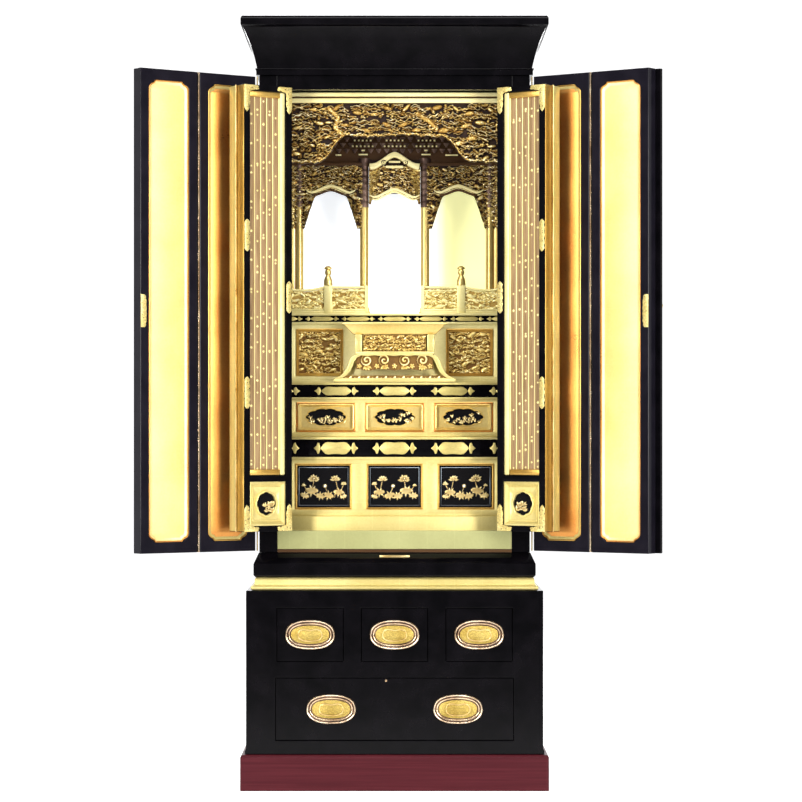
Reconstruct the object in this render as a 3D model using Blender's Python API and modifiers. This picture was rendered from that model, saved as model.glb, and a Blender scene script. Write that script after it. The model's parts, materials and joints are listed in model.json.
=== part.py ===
"""A gilded household altar cabinet: lacquered carcase, bi-fold doors, drawers and a carved inner shrine.

X runs right, Y runs back and Z up, in metres. The front faces -Y, and the origin is at the middle of
the plinth's underside. The doors stand open, the inner leaves folded in front of the outer ones.
"""

import math

import bmesh
import bpy
from mathutils import Matrix, Vector, noise

# Clearances
FIT = 0.0004  # between pieces that touch
DRAWER_SIDE_GAP = 0.0025  # drawer box to its bay
DRAWER_REVEAL = 0.0012  # drawer front to its bay's mouth

# Plinth
PLINTH_SIDE_OUT = 0.011  # how far it stands beyond the base cabinet
PLINTH_FRONT_OUT = 0.012
PLINTH_HEIGHT = 0.0716
PLINTH_CHAMFER = 0.004

# Base cabinet and drawers
BASE_WIDTH = 0.591
BASE_DEPTH = 0.456
BASE_HEIGHT = 0.3254
BASE_FLARE = 0.0025
BASE_FLARE_HEIGHT = 0.012
BASE_BACK_WALL = 0.051
SMALL_STILE = 0.061  # from the base's side to a small drawer
WIDE_STILE = 0.0585  # and to the wide one
DRAWER_POST = 0.035  # between two small drawers
SMALL_DRAWER_HEIGHT = 0.107
TOP_RAIL = 0.034  # above the small drawers
MIDDLE_RAIL = 0.032  # between the small drawers and the wide one
BOTTOM_RAIL = 0.0274
DRAWER_BACK_GAP = 0.020
DRAWER_FRONT = 0.016
DRAWER_WALL = 0.008
DRAWER_FLOOR = 0.006
DRAWER_LIP = 0.012  # the box sides stop this far below the front's top
PULL_WIDTH = 0.099
PULL_HEIGHT = 0.061
PULL_RIM = 0.0055
WIDE_PULL_IN = 0.111  # from the wide drawer's end to a pull's middle

# Gold moulding and sill
MOULDING_SET_IN = 0.009  # the lower step behind the base's faces
MOULDING_STEP_IN = 0.0075  # the upper step behind the lower one
MOULDING_STEP = 0.0092
MOULDING_HEIGHT = 0.0252
MOULDING_SOFT = 0.0022
SILL_SET_BACK = 0.008  # its lip behind the base's front
SILL_SIDE_OUT = 0.0105  # beyond the carcase
SILL_LIP_FRONT = 0.030  # how far the lip stands before the carcase face
SILL_LIP_HEIGHT = 0.031
SILL_HEIGHT = 0.0484
SILL_ROUND = 0.004

# Carcase
CARCASE_WIDTH = 0.541
CARCASE_BACK_IN = 0.013  # its back before the base's back
CARCASE_HEIGHT = 0.9534
SIDE_THICK = 0.036
BACK_THICK = 0.012
CEILING_THICK = 0.0282
FLOOR_THICK = 0.006
THRESHOLD_HEIGHT = 0.0365
THRESHOLD_THICK = 0.018

# Cornice
NECK_OUT = 0.006
NECK_HEIGHT = 0.0112
COVE_HEIGHT = 0.1055
CROWN_OUT = 0.036
CROWN_EDGE = 0.020
CROWN_ROUND = 0.004
COVE_STEPS = 6
COVE_SWEEP = 0.28  # share of the cove's reach that comes in its upper curve

# Outer doors
DOORS_OPEN = math.radians(143.8)
LEAF_THICK = 0.026
HINGE_OFFSET = 0.004  # pivot line to the leaf's edge, and to the carcase side
DOOR_FACE_GAP = 0.0025  # closed leaf to the carcase face
FOLD_CLEAR = 0.001  # fold line to the leaf's face
LEAF_FOLD_GAP = 0.006
LEAF_CENTRE_GAP = 0.003
LEAF_BOTTOM_GAP = 0.0035
LEAF_TOP_GAP = 0.0025
LEAF_STILE = 0.020
LEAF_RAIL = 0.022
LEAF_SINK = 0.0055
PANEL_CHAMFER = 0.013
PANEL_SLOPE = 0.006
PANEL_PLATE = 0.0022
ASTRAGAL_WIDTH = 0.022
ASTRAGAL_THICK = 0.010
KNOB_REACH = 0.012
KNOB_RADIUS = 0.005
EDGE_STRIP = 0.0035
BARREL_RADIUS = 0.0034
BARREL_LENGTH = 0.055
PIN_RADIUS = 0.0014

# Inner doors
INNER_THICK = 0.025
INNER_PIVOT_GAP = 0.001
INNER_FOLD_GAP = 0.004
INNER_CENTRE_GAP = 0.001
INNER_TOP_GAP = 0.0006
INNER_STILE = 0.0145
INNER_RAIL = 0.011
INNER_MIDDLE_RAIL = 0.012
INNER_MIDDLE_Z = 0.1045  # middle rail's centre above the leaf's foot
INNER_PLATE = 0.004
LATTICE_BARS = 5
LATTICE_BAR = 0.008
LATTICE_DEPTH = 0.004
GOLD_MEMBER = 0.0125
MEDALLION_RADIUS = 0.021
SMALL_BARREL_RADIUS = 0.0018

# Inner shrine
SHRINE_SIDE_GAP = 0.0025
RISER_BACK = 0.035  # behind the carcase face
LOWER_TIER_BACK = 0.050
MIDDLE_TIER_BACK = 0.100
UPPER_TIER_BACK = 0.160
TIER_DEEP = 0.320
RISER_TOP = 0.065  # heights, from the floor board up
LOWER_TIER_HEIGHT = 0.119
LOWER_BAND_HEIGHT = 0.040
MIDDLE_TIER_HEIGHT = 0.081
MIDDLE_BAND_HEIGHT = 0.030
UPPER_TIER_HEIGHT = 0.125
UPPER_BAND_HEIGHT = 0.018
BAND_SET_BACK = 0.008
TIER_LIP = 0.003
LOWER_PANEL_EDGE = 0.032  # from the tier's end to its first sunk panel
LOWER_PANEL_GAP = 0.030
LOWER_PANEL_HEIGHT = 0.091
MIDDLE_PANEL_EDGE = 0.033
MIDDLE_PANEL_GAP = 0.022
MIDDLE_PANEL_HEIGHT = 0.058
UPPER_PANEL_EDGE = 0.031
UPPER_PANEL_SIZE = 0.094
PANEL_SINK = 0.005
TABLE_WIDTH = 0.213
TABLE_FOOT_WIDTH = 0.250
TABLE_HEIGHT = 0.122
TABLE_TOP = 0.022
TABLE_SET_BACK = 0.004  # behind the middle tier's front
TABLE_BACK_GAP = 0.005  # before the upper tier's lip
TABLE_WALL = 0.008
RAIL_SET_BACK = 0.020  # behind the upper tier's front
RAIL_THICK = 0.008
RAIL_HEIGHT = 0.056
RAIL_INNER_END = 0.053
END_POST = 0.008
POST_OFF = 0.0065  # outward of the side bay's middle
POST_RADIUS = 0.0085
POST_HEIGHT = 0.100
COLUMN_SET_BACK = 0.040  # behind the rail's front
COLUMN_RADIUS = 0.009
COLUMN_INNER = 0.063
COLUMN_SIDE = 0.0345  # outer column to the shrine's side
ARCADE_THICK = 0.010
ARCADE_HEIGHT = 0.060
ARCADE_BELOW = 0.058  # its top below the ceiling
ARCH_FOOT_DROP = 0.147
ARCH_CROWN_DROP = 0.060
SCREEN_THICK = 0.006
TRANSOM_BACK = 0.036
TRANSOM_THICK = 0.016
TRANSOM_DROP = 0.010  # its top rail below the ceiling
TRANSOM_RAIL = 0.022
TRANSOM_LOW = 0.143  # its lower edge below the ceiling, at the sides
TRANSOM_HIGH = 0.090  # and at the middle

# Heights and planes that follow from these
PLINTH_TOP = PLINTH_HEIGHT
BASE_FOOT = PLINTH_TOP + FIT
BASE_TOP = BASE_FOOT + BASE_HEIGHT
MOULDING_FOOT = BASE_TOP + FIT
MOULDING_TOP = MOULDING_FOOT + MOULDING_HEIGHT
SILL_FOOT = MOULDING_TOP + FIT
SILL_TOP = SILL_FOOT + SILL_HEIGHT
CARCASE_FOOT = SILL_TOP + FIT
CARCASE_TOP = CARCASE_FOOT + CARCASE_HEIGHT
BASE_FRONT = -BASE_DEPTH / 2
SMALL_DRAWER_WIDTH = (BASE_WIDTH - 2 * SMALL_STILE - 2 * DRAWER_POST) / 3
SMALL_DRAWER_PITCH = SMALL_DRAWER_WIDTH + DRAWER_POST
WIDE_DRAWER_WIDTH = BASE_WIDTH - 2 * WIDE_STILE
WIDE_DRAWER_HEIGHT = BASE_HEIGHT - TOP_RAIL - SMALL_DRAWER_HEIGHT - MIDDLE_RAIL - BOTTOM_RAIL
BAY_DEPTH = BASE_DEPTH - BASE_BACK_WALL
DRAWER_DEPTH = BAY_DEPTH - DRAWER_BACK_GAP
SILL_FRONT = BASE_FRONT + SILL_SET_BACK
FACE_Y = SILL_FRONT + SILL_LIP_FRONT
BACK_Y = BASE_DEPTH / 2 - CARCASE_BACK_IN
INSIDE_HALF = CARCASE_WIDTH / 2 - SIDE_THICK
INSIDE_BACK = BACK_Y - BACK_THICK - FIT
CEILING = CARCASE_TOP - CEILING_THICK
FLOOR = CARCASE_FOOT + FLOOR_THICK
THRESHOLD_TOP = FLOOR + FIT + THRESHOLD_HEIGHT
SHRINE_HALF = INSIDE_HALF - SHRINE_SIDE_GAP
LEAF_FOOT = SILL_TOP + LEAF_BOTTOM_GAP
LEAF_HEAD = CARCASE_TOP - LEAF_TOP_GAP
DOOR_PIVOT_X = CARCASE_WIDTH / 2 + HINGE_OFFSET
DOOR_PIVOT_Y = FACE_Y - DOOR_FACE_GAP
LEAF_WIDTH = (DOOR_PIVOT_X - LEAF_CENTRE_GAP / 2 - HINGE_OFFSET - LEAF_FOLD_GAP) / 2
LEAF_FOLD_U = HINGE_OFFSET + LEAF_WIDTH + LEAF_FOLD_GAP / 2
INNER_PIVOT_X = INSIDE_HALF - INNER_PIVOT_GAP
INNER_WIDTH = (INNER_PIVOT_X - INNER_CENTRE_GAP / 2 - INNER_PIVOT_GAP - INNER_FOLD_GAP) / 2
INNER_FOLD_U = INNER_PIVOT_GAP + INNER_WIDTH + INNER_FOLD_GAP / 2
INNER_FOOT = THRESHOLD_TOP + INNER_TOP_GAP * 2
INNER_HEAD = CEILING - INNER_TOP_GAP
SMALL_DRAWER_Z = BASE_TOP - TOP_RAIL - SMALL_DRAWER_HEIGHT
WIDE_DRAWER_Z = SMALL_DRAWER_Z - MIDDLE_RAIL - WIDE_DRAWER_HEIGHT
LOWER_TIER_TOP = FLOOR + RISER_TOP + LOWER_TIER_HEIGHT
LOWER_BAND_TOP = LOWER_TIER_TOP + LOWER_BAND_HEIGHT
MIDDLE_TIER_TOP = LOWER_BAND_TOP + MIDDLE_TIER_HEIGHT
MIDDLE_BAND_TOP = MIDDLE_TIER_TOP + MIDDLE_BAND_HEIGHT
UPPER_TIER_TOP = MIDDLE_BAND_TOP + UPPER_TIER_HEIGHT
UPPER_BAND_TOP = UPPER_TIER_TOP + UPPER_BAND_HEIGHT
LOWER_PANEL_WIDTH = (2 * SHRINE_HALF - 2 * LOWER_PANEL_EDGE - 2 * LOWER_PANEL_GAP) / 3
LOWER_PANEL_PITCH = LOWER_PANEL_WIDTH + LOWER_PANEL_GAP
MIDDLE_PANEL_WIDTH = (2 * SHRINE_HALF - 2 * MIDDLE_PANEL_EDGE - 2 * MIDDLE_PANEL_GAP) / 3
MIDDLE_PANEL_PITCH = MIDDLE_PANEL_WIDTH + MIDDLE_PANEL_GAP
UPPER_PANEL_PITCH = SHRINE_HALF - UPPER_PANEL_EDGE - UPPER_PANEL_SIZE / 2
RAIL_FOOT = UPPER_BAND_TOP + FIT
TABLE_FRONT = FACE_Y + MIDDLE_TIER_BACK + TABLE_SET_BACK
TABLE_DEPTH = FACE_Y + UPPER_TIER_BACK - TIER_LIP - TABLE_BACK_GAP - TABLE_FRONT
RAIL_Y = FACE_Y + UPPER_TIER_BACK + RAIL_SET_BACK
COLUMN_Y = RAIL_Y + COLUMN_SET_BACK
COLUMN_OUTER = SHRINE_HALF - COLUMN_SIDE
COLUMN_HEIGHT = CEILING - ARCADE_BELOW - ARCADE_HEIGHT - FIT - RAIL_FOOT
POST_PLACE = (COLUMN_INNER + COLUMN_OUTER) / 2 + POST_OFF

LEFT, RIGHT = -1, 1
SIDES = ((LEFT, "left"), (RIGHT, "right"))


def collection(name, hidden=False):
    made = bpy.data.collections.new(name)
    bpy.context.scene.collection.children.link(made)
    made.hide_render = hidden
    return made


for old in list(bpy.data.objects):
    bpy.data.objects.remove(old)
PARTS = collection("altar_cabinet")
CUTTERS = collection("cutters", hidden=True)


def finish(name, colour, roughness, metallic=0.0):
    """A Principled material; colour is linear red, green and blue."""
    made = bpy.data.materials.new(name)
    made.use_nodes = True
    shader = made.node_tree.nodes["Principled BSDF"]
    shader.inputs["Base Color"].default_value = (*colour, 1.0)
    shader.inputs["Roughness"].default_value = roughness
    shader.inputs["Metallic"].default_value = metallic
    return made


BLACK = finish("black_lacquer", (0.006, 0.005, 0.007), 0.12)
MAROON = finish("maroon_lacquer", (0.070, 0.009, 0.013), 0.30)
GOLD = finish("gold_leaf", (0.760, 0.560, 0.170), 0.32, 1.0)
DARK_GOLD = finish("toned_gold", (0.330, 0.190, 0.060), 0.42, 1.0)
BRASS = finish("brass", (0.600, 0.400, 0.120), 0.28, 1.0)
BROWN = finish("brown_lacquer", (0.075, 0.040, 0.022), 0.35)
PALE = finish("pale_screen", (0.850, 0.880, 0.800), 0.60)


# Shapes


def block(xs, ys, zs):
    """A rectangular board between two x, two y and two z values."""
    shape = bmesh.new()
    spans = [(min(pair), max(pair)) for pair in (xs, ys, zs)]
    size = [high - low for low, high in spans]
    middle = [(high + low) / 2 for low, high in spans]
    matrix = Matrix.Translation(middle) @ Matrix.Diagonal((*size, 1.0))
    bmesh.ops.create_cube(shape, size=1.0, matrix=matrix)
    return shape


def from_object(holder):
    """The evaluated shape of a scratch object, welded closed, and the object removed."""
    bpy.context.scene.collection.objects.link(holder)
    graph = bpy.context.evaluated_depsgraph_get()
    mesh = bpy.data.meshes.new_from_object(holder.evaluated_get(graph))
    bpy.data.objects.remove(holder)
    shape = bmesh.new()
    shape.from_mesh(mesh)
    bpy.data.meshes.remove(mesh)
    bmesh.ops.remove_doubles(shape, verts=shape.verts, dist=1e-6)
    bmesh.ops.recalc_face_normals(shape, faces=shape.faces)
    return shape


ACROSS_Y = Matrix.Rotation(math.pi / 2, 4, "X")  # an outline's y becomes z, its thickness runs along y
ACROSS_X = Matrix(((0, 0, 1, 0), (1, 0, 0, 0), (0, 1, 0, 0), (0, 0, 0, 1)))  # x becomes y, y becomes z


def flat(outline, thickness, turn=None, centre=(0.0, 0.0, 0.0)):
    """A closed outline of x, y points given a thickness, turned, then moved to its centre."""
    curve = bpy.data.curves.new("outline", "CURVE")
    curve.dimensions = "2D"
    curve.fill_mode = "BOTH"
    curve.extrude = thickness / 2
    spline = curve.splines.new("POLY")
    spline.points.add(len(outline) - 1)
    for point, (x, y) in zip(spline.points, outline):
        point.co = (x, y, 0.0, 1.0)
    spline.use_cyclic_u = True
    shape = from_object(bpy.data.objects.new("outline", curve))
    shape.transform(Matrix.Translation(centre) @ (turn or Matrix.Identity(4)))
    return shape


def tube(points, radius, resolution=1):
    curve = bpy.data.curves.new("tube", "CURVE")
    curve.dimensions = "3D"
    curve.bevel_depth = radius
    curve.bevel_resolution = resolution
    curve.use_fill_caps = True
    spline = curve.splines.new("POLY")
    spline.points.add(len(points) - 1)
    for point, place in zip(spline.points, points):
        point.co = (*place, 1.0)
    return from_object(bpy.data.objects.new("tube", curve))


def turned(profile, steps, matrix):
    """A profile of radius, height pairs, top to bottom, turned about Z, then moved by the matrix."""
    mesh = bpy.data.meshes.new("profile")
    edges = [(i, i + 1) for i in range(len(profile) - 1)]
    mesh.from_pydata([(radius, 0.0, height) for radius, height in profile], edges, [])
    holder = bpy.data.objects.new("profile", mesh)
    screw = holder.modifiers.new("Screw", "SCREW")
    screw.steps = steps
    screw.render_steps = steps
    screw.use_merge_vertices = True
    screw.merge_threshold = 0.00005
    shape = from_object(holder)
    shape.transform(matrix)
    return shape


def stacked(rings):
    """Rectangles stacked upwards into a moulded slab: half width, front y, back y and z of each."""
    shape = bmesh.new()
    bmesh.ops.create_grid(shape, x_segments=1, y_segments=1, size=1.0)
    top = shape.faces[:][0]  # a square of half size 1 about the origin, which every ring lies within

    def fit(face, ring):
        half, front, back, z = ring
        for vert in face.verts:
            x = math.copysign(half, vert.co.x)
            vert.co = (x, front if vert.co.y < (front + back) / 2 else back, z)

    fit(top, rings[0])
    for index, ring in enumerate(rings[1:]):
        grown = bmesh.ops.extrude_face_region(shape, geom=[top])
        if index:
            bmesh.ops.delete(shape, geom=[top], context="FACES_ONLY")
        top = next(item for item in grown["geom"] if isinstance(item, bmesh.types.BMFace))
        fit(top, ring)
    bmesh.ops.recalc_face_normals(shape, faces=shape.faces)
    return shape


def carved(stations, rows, low, high, front, back):
    """A board cut to its contour, carved on its front and flat behind.

    stations are its x values, low(x) and high(x) its lower and upper edges, and front(x, z) the
    carved face's y.
    """
    shape = bmesh.new()
    columns = len(stations) - 1
    bmesh.ops.create_grid(shape, x_segments=columns, y_segments=rows, size=0.5)
    for vert in shape.verts:
        x = stations[round((vert.co.x + 0.5) * columns)]
        share = vert.co.y + 0.5
        z = low(x) + (high(x) - low(x)) * share
        vert.co = (x, front(x, z), z)
    rim = [edge for edge in shape.edges if edge.is_boundary]
    grown = bmesh.ops.extrude_edge_only(shape, edges=rim)["geom"]
    for vert in (item for item in grown if isinstance(item, bmesh.types.BMVert)):
        vert.co.y = back
    behind = [item for item in grown if isinstance(item, bmesh.types.BMEdge) and item.is_boundary]
    bmesh.ops.contextual_create(shape, geom=behind)
    bmesh.ops.recalc_face_normals(shape, faces=shape.faces)
    return shape


def lump(x, y, z, size, turn=0.0):
    """A six-sided boss that points forwards, of half sizes along x, y and z, turned about Y."""
    shape = bmesh.new()
    place = Matrix.Translation((x, y, z)) @ Matrix.Rotation(turn, 4, "Y") @ Matrix.Diagonal((*size, 1.0))
    bmesh.ops.create_uvsphere(shape, u_segments=6, v_segments=2, radius=1.0, matrix=place @ ACROSS_Y)
    return shape


# Nodes


def put(name, shape, material, parent=None, holder=PARTS):
    """Makes an object of a shape, in the frame of its parent."""
    mesh = bpy.data.meshes.new(name)
    shape.to_mesh(mesh)
    shape.free()
    made = bpy.data.objects.new(name, mesh)
    made.parent = parent
    holder.objects.link(made)
    if material:
        mesh.materials.append(material)
    return made


def merged(shapes):
    """Several shapes in one mesh, each still a body of its own."""
    whole = bmesh.new()
    for shape in shapes:
        scratch = bpy.data.meshes.new("scratch")
        shape.to_mesh(scratch)
        shape.free()
        whole.from_mesh(scratch)
        bpy.data.meshes.remove(scratch)
    return whole


def alter(target, operation, shapes):
    """Cuts shapes out of an object, or joins them to it, with an exact Boolean."""
    names = {"DIFFERENCE": "cut", "UNION": "join"}
    name = f"{target.name}_{names[operation]}"
    tool = put(name, merged(shapes), None, target.parent, CUTTERS)
    tool.display_type = "WIRE"
    tool.hide_render = True
    modifier = target.modifiers.new(names[operation], "BOOLEAN")
    modifier.operation = operation
    modifier.object = tool
    modifier.solver = "EXACT"
    modifier.use_self = True
    return target


def cut(target, shapes):
    return alter(target, "DIFFERENCE", shapes)


def join(target, shapes):
    return alter(target, "UNION", shapes)


def pivot(name, place, turn=0.0, parent=None):
    made = bpy.data.objects.new(name, None)
    made.location = place
    made.rotation_euler = (0.0, 0.0, turn)
    made.parent = parent
    PARTS.objects.link(made)
    return made


# Outlines


def chamfered(width, height, chamfer):
    """A rectangle about the origin with its corners cut off."""
    x, z = width / 2, height / 2
    corner = [(x, z - chamfer), (x - chamfer, z), (chamfer - x, z), (-x, z - chamfer)]
    return corner + [(-a, -b) for a, b in corner]


def lobed(width, height, lobes, depth, points):
    """An oval whose edge swells between cusps."""
    outline = []
    for i in range(points):
        angle = 2 * math.pi * i / points
        reach = 1 - depth * (1 - abs(math.sin(lobes * angle / 2)))
        outline.append((width / 2 * reach * math.cos(angle), height / 2 * reach * math.sin(angle)))
    return outline


def mirrored(half):
    """A right-hand half outline, bottom to top, and its left-hand mirror image."""
    return half + [(-x, z) for x, z in reversed(half)]


# Plinth and base cabinet


def plinth():
    half, front = BASE_WIDTH / 2 + PLINTH_SIDE_OUT, BASE_DEPTH / 2 + PLINTH_FRONT_OUT
    inner = PLINTH_CHAMFER
    rings = [
        (half, -front, front, 0.0),
        (half, -front, front, PLINTH_TOP - inner),
        (half - inner, inner - front, front - inner, PLINTH_TOP),
    ]
    put("plinth", stacked(rings), MAROON)


def drawer_bays():
    """Name, centre x, foot z, width and height of each drawer's bay."""
    size = (SMALL_DRAWER_WIDTH, SMALL_DRAWER_HEIGHT)
    bays = [
        (f"drawer_{name}", place * SMALL_DRAWER_PITCH, SMALL_DRAWER_Z, *size)
        for name, place in (("left", -1), ("middle", 0), ("right", 1))
    ]
    bays.append(("drawer_wide", 0.0, WIDE_DRAWER_Z, WIDE_DRAWER_WIDTH, WIDE_DRAWER_HEIGHT))
    return bays


def base_cabinet():
    half = BASE_WIDTH / 2
    flared = half + BASE_FLARE
    right = [
        (flared, BASE_FOOT),
        (flared, BASE_FOOT + BASE_FLARE_HEIGHT / 2),
        (half, BASE_FOOT + BASE_FLARE_HEIGHT),
        (half, BASE_TOP),
    ]
    shell = put("base_cabinet", flat(mirrored(right), BASE_DEPTH, ACROSS_Y), BLACK)
    depth = (BASE_FRONT - DRAWER_FRONT, BASE_FRONT + BAY_DEPTH)
    bays = [
        block((x - width / 2, x + width / 2), depth, (z, z + height))
        for _, x, z, width, height in drawer_bays()
    ]
    cut(shell, bays)


def drawer(name, x, z, width, height):
    """A drawer's front and box, hollow above its floor."""
    slide = pivot(f"{name}_slide", (x, BASE_FRONT, z))
    half = width / 2
    box_half = half - DRAWER_SIDE_GAP
    box_foot = DRAWER_SIDE_GAP
    box_top = height - DRAWER_LIP
    face = block(
        (DRAWER_REVEAL - half, half - DRAWER_REVEAL),
        (0.0, DRAWER_FRONT),
        (DRAWER_REVEAL, height - DRAWER_REVEAL),
    )
    body = put(name, face, BLACK, slide)
    join(body, [block((-box_half, box_half), (DRAWER_FRONT / 2, DRAWER_DEPTH), (box_foot, box_top))])
    hollow = box_half - DRAWER_WALL
    cut(body, [block(
        (-hollow, hollow), (DRAWER_FRONT, DRAWER_DEPTH - DRAWER_WALL), (box_foot + DRAWER_FLOOR, height)
    )])
    return slide


def pull(name, slide, x, z):
    """A cast oval pull: a rounded rim round a sunk field, with a small looped grip in it."""
    radius = PULL_WIDTH / 2
    profile = [
        (0.0, 0.0020),
        (radius * 0.74, 0.0020),
        (radius * 0.84, PULL_RIM),
        (radius * 0.95, PULL_RIM),
        (radius, PULL_RIM * 0.4),
        (radius, 0.0),
        (0.0, 0.0),
    ]
    squash = Matrix.Diagonal((1.0, PULL_HEIGHT / PULL_WIDTH, 1.0, 1.0))
    place = Matrix.Translation((x, -FIT, z)) @ ACROSS_Y @ squash
    body = put(name, turned(profile, 14, place), BRASS, slide)
    grip = []
    for i in range(7):
        angle = math.pi * i / 6
        swell = 1 + 0.22 * math.cos(3 * angle) ** 2
        grip.append((x + 0.021 * math.cos(angle) * swell, -0.0042, z + 0.006 - 0.013 * math.sin(angle)))
    join(body, [tube(grip, 0.0022, 0), lump(x, -0.0038, z + 0.0055, (0.010, 0.0030, 0.0055))])


def drawers():
    for name, x, z, width, height in drawer_bays():
        slide = drawer(name, x, z, width, height)
        spread = width / 2 - WIDE_PULL_IN
        pulls = [("", 0.0)] if name != "drawer_wide" else [("_left", -spread), ("_right", spread)]
        for suffix, place in pulls:
            pull(f"pull_{name[7:]}{suffix}", slide, place, height / 2)


def moulding():
    """Two gilded steps between the base cabinet and the sill."""
    wide = BASE_WIDTH / 2 - MOULDING_SET_IN
    narrow = wide - MOULDING_STEP_IN
    step = MOULDING_FOOT + MOULDING_STEP
    soft = MOULDING_SOFT

    def ring(half, z):
        front = BASE_FRONT + BASE_WIDTH / 2 - half
        return (half, front, BACK_Y, z)

    rings = [
        ring(wide - soft, MOULDING_FOOT),
        ring(wide, MOULDING_FOOT + soft),
        ring(wide, step - soft),
        ring(narrow + soft, step),
        ring(narrow, step + soft),
        ring(narrow, MOULDING_TOP - 2 * soft),
        ring(narrow - soft, MOULDING_TOP),
    ]
    put("gold_moulding", stacked(rings), GOLD)


def sill():
    half = CARCASE_WIDTH / 2 + SILL_SIDE_OUT
    front = SILL_FRONT
    lip_top = SILL_FOOT + SILL_LIP_HEIGHT
    shoulder = CARCASE_WIDTH / 2 + 0.001
    rings = [
        (half - SILL_ROUND, front + SILL_ROUND, BACK_Y, SILL_FOOT),
        (half, front, BACK_Y, SILL_FOOT + SILL_ROUND),
        (half, front, BACK_Y, lip_top - SILL_ROUND),
        (half - SILL_ROUND / 2, front + SILL_ROUND, BACK_Y, lip_top),
        (shoulder, FACE_Y - 0.001, BACK_Y, SILL_TOP),
    ]
    put("sill", stacked(rings), BLACK)


# Carcase


def carcase():
    outer = CARCASE_WIDTH / 2
    height = (CARCASE_FOOT, CARCASE_TOP)
    for side, name in SIDES:
        put(f"side_{name}", block((side * INSIDE_HALF, side * outer), (FACE_Y, INSIDE_BACK), height), BLACK)
    put("back_board", block((-outer, outer), (BACK_Y - BACK_THICK, BACK_Y), height), BLACK)
    inner = INSIDE_HALF - FIT
    depth = (FACE_Y, INSIDE_BACK)
    put("ceiling_board", block((-inner, inner), depth, (CEILING, CARCASE_TOP)), BLACK)
    put("floor_board", block((-inner, inner), depth, (CARCASE_FOOT, FLOOR)), BROWN)
    put(
        "threshold",
        block((-inner, inner), (FACE_Y, FACE_Y + THRESHOLD_THICK), (FLOOR + FIT, THRESHOLD_TOP)),
        GOLD,
    )


def cornice():
    """Neck, cove and crown board, moulded on the front and both sides and flush behind."""
    foot = CARCASE_TOP + FIT
    half = CARCASE_WIDTH / 2

    def ring(out, z):
        return (half + out, FACE_Y - out, BACK_Y, z)

    rings = [ring(NECK_OUT, foot), ring(NECK_OUT, foot + NECK_HEIGHT)]
    reach = CROWN_OUT - CROWN_EDGE * 0.2 - NECK_OUT / 2
    for i in range(COVE_STEPS + 1):
        rise = i / COVE_STEPS
        sweep = rise * (1 - COVE_SWEEP) + rise**2.4 * COVE_SWEEP
        rings.append(ring(
            NECK_OUT / 2 + reach * sweep,
            foot + NECK_HEIGHT + CROWN_ROUND * 0.15 + (COVE_HEIGHT - CROWN_EDGE) * rise,
        ))
    top = foot + NECK_HEIGHT + COVE_HEIGHT
    rings += [
        ring(CROWN_OUT - CROWN_ROUND / 2, top - CROWN_EDGE + CROWN_ROUND),
        ring(CROWN_OUT, top - CROWN_EDGE + 2 * CROWN_ROUND),
        ring(CROWN_OUT, top - CROWN_ROUND),
        ring(CROWN_OUT - CROWN_ROUND, top),
    ]
    put("cornice", stacked(rings), BLACK)


# Outer doors


def hinge_rod(name, x, y, low, high, radius, parent, material=BRASS):
    """Three barrels on one pin."""
    rod = put(name, tube([(x, y, low), (x, y, high)], PIN_RADIUS), material, parent)
    length = high - low
    barrels = []
    for share in (0.12, 0.5, 0.88):
        middle = low + length * share
        ends = (middle - BARREL_LENGTH / 2, middle + BARREL_LENGTH / 2)
        barrels.append(tube([(x, y, z) for z in ends], radius))
    join(rod, barrels)


def sunk_panel(width, height):
    """A plate with a sloping rim round a lower field, about the origin, its back at y = 0."""
    outline = chamfered(width, height, PANEL_CHAMFER)
    shape = flat(outline, LEAF_SINK - FIT - 0.0006, ACROSS_Y)
    front = max(shape.faces, key=lambda face: face.calc_center_median().y).calc_center_median().y
    caps = [face for face in shape.faces if face.calc_center_median().y > front - 1e-6]
    bmesh.ops.dissolve_faces(shape, faces=caps)
    cap = max(shape.faces, key=lambda face: face.calc_center_median().y)
    bmesh.ops.inset_region(shape, faces=[cap], thickness=PANEL_SLOPE, use_even_offset=True)
    for vert in cap.verts:
        vert.co.y -= LEAF_SINK - FIT - 0.0006 - PANEL_PLATE
    bmesh.ops.recalc_face_normals(shape, faces=shape.faces)
    return shape


def outer_leaf(name, side, parent, start, gold_face):
    """One lacquered leaf, from start along its closed direction, with a gilded sunk panel behind."""
    end = start + LEAF_WIDTH
    middle = -side * (start + end) / 2
    height = LEAF_HEAD - LEAF_FOOT
    mid_z = (LEAF_HEAD + LEAF_FOOT) / 2
    leaf = put(
        f"door_{name}",
        block((-side * start, -side * end), (gold_face - LEAF_THICK, gold_face), (LEAF_FOOT, LEAF_HEAD)),
        BLACK,
        parent,
    )
    width = LEAF_WIDTH - 2 * LEAF_STILE
    tall = height - 2 * LEAF_RAIL
    cut(leaf, [flat(
        chamfered(width, tall, PANEL_CHAMFER), 2 * LEAF_SINK, ACROSS_Y, (middle, gold_face, mid_z)
    )])
    panel = sunk_panel(width - 2 * FIT, tall - 2 * FIT)
    low = min(vert.co.y for vert in panel.verts)
    panel.transform(Matrix.Translation((middle, gold_face - LEAF_SINK + FIT - low, mid_z)))
    put(f"gold_panel_{name}", panel, GOLD, parent)
    return end


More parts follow.
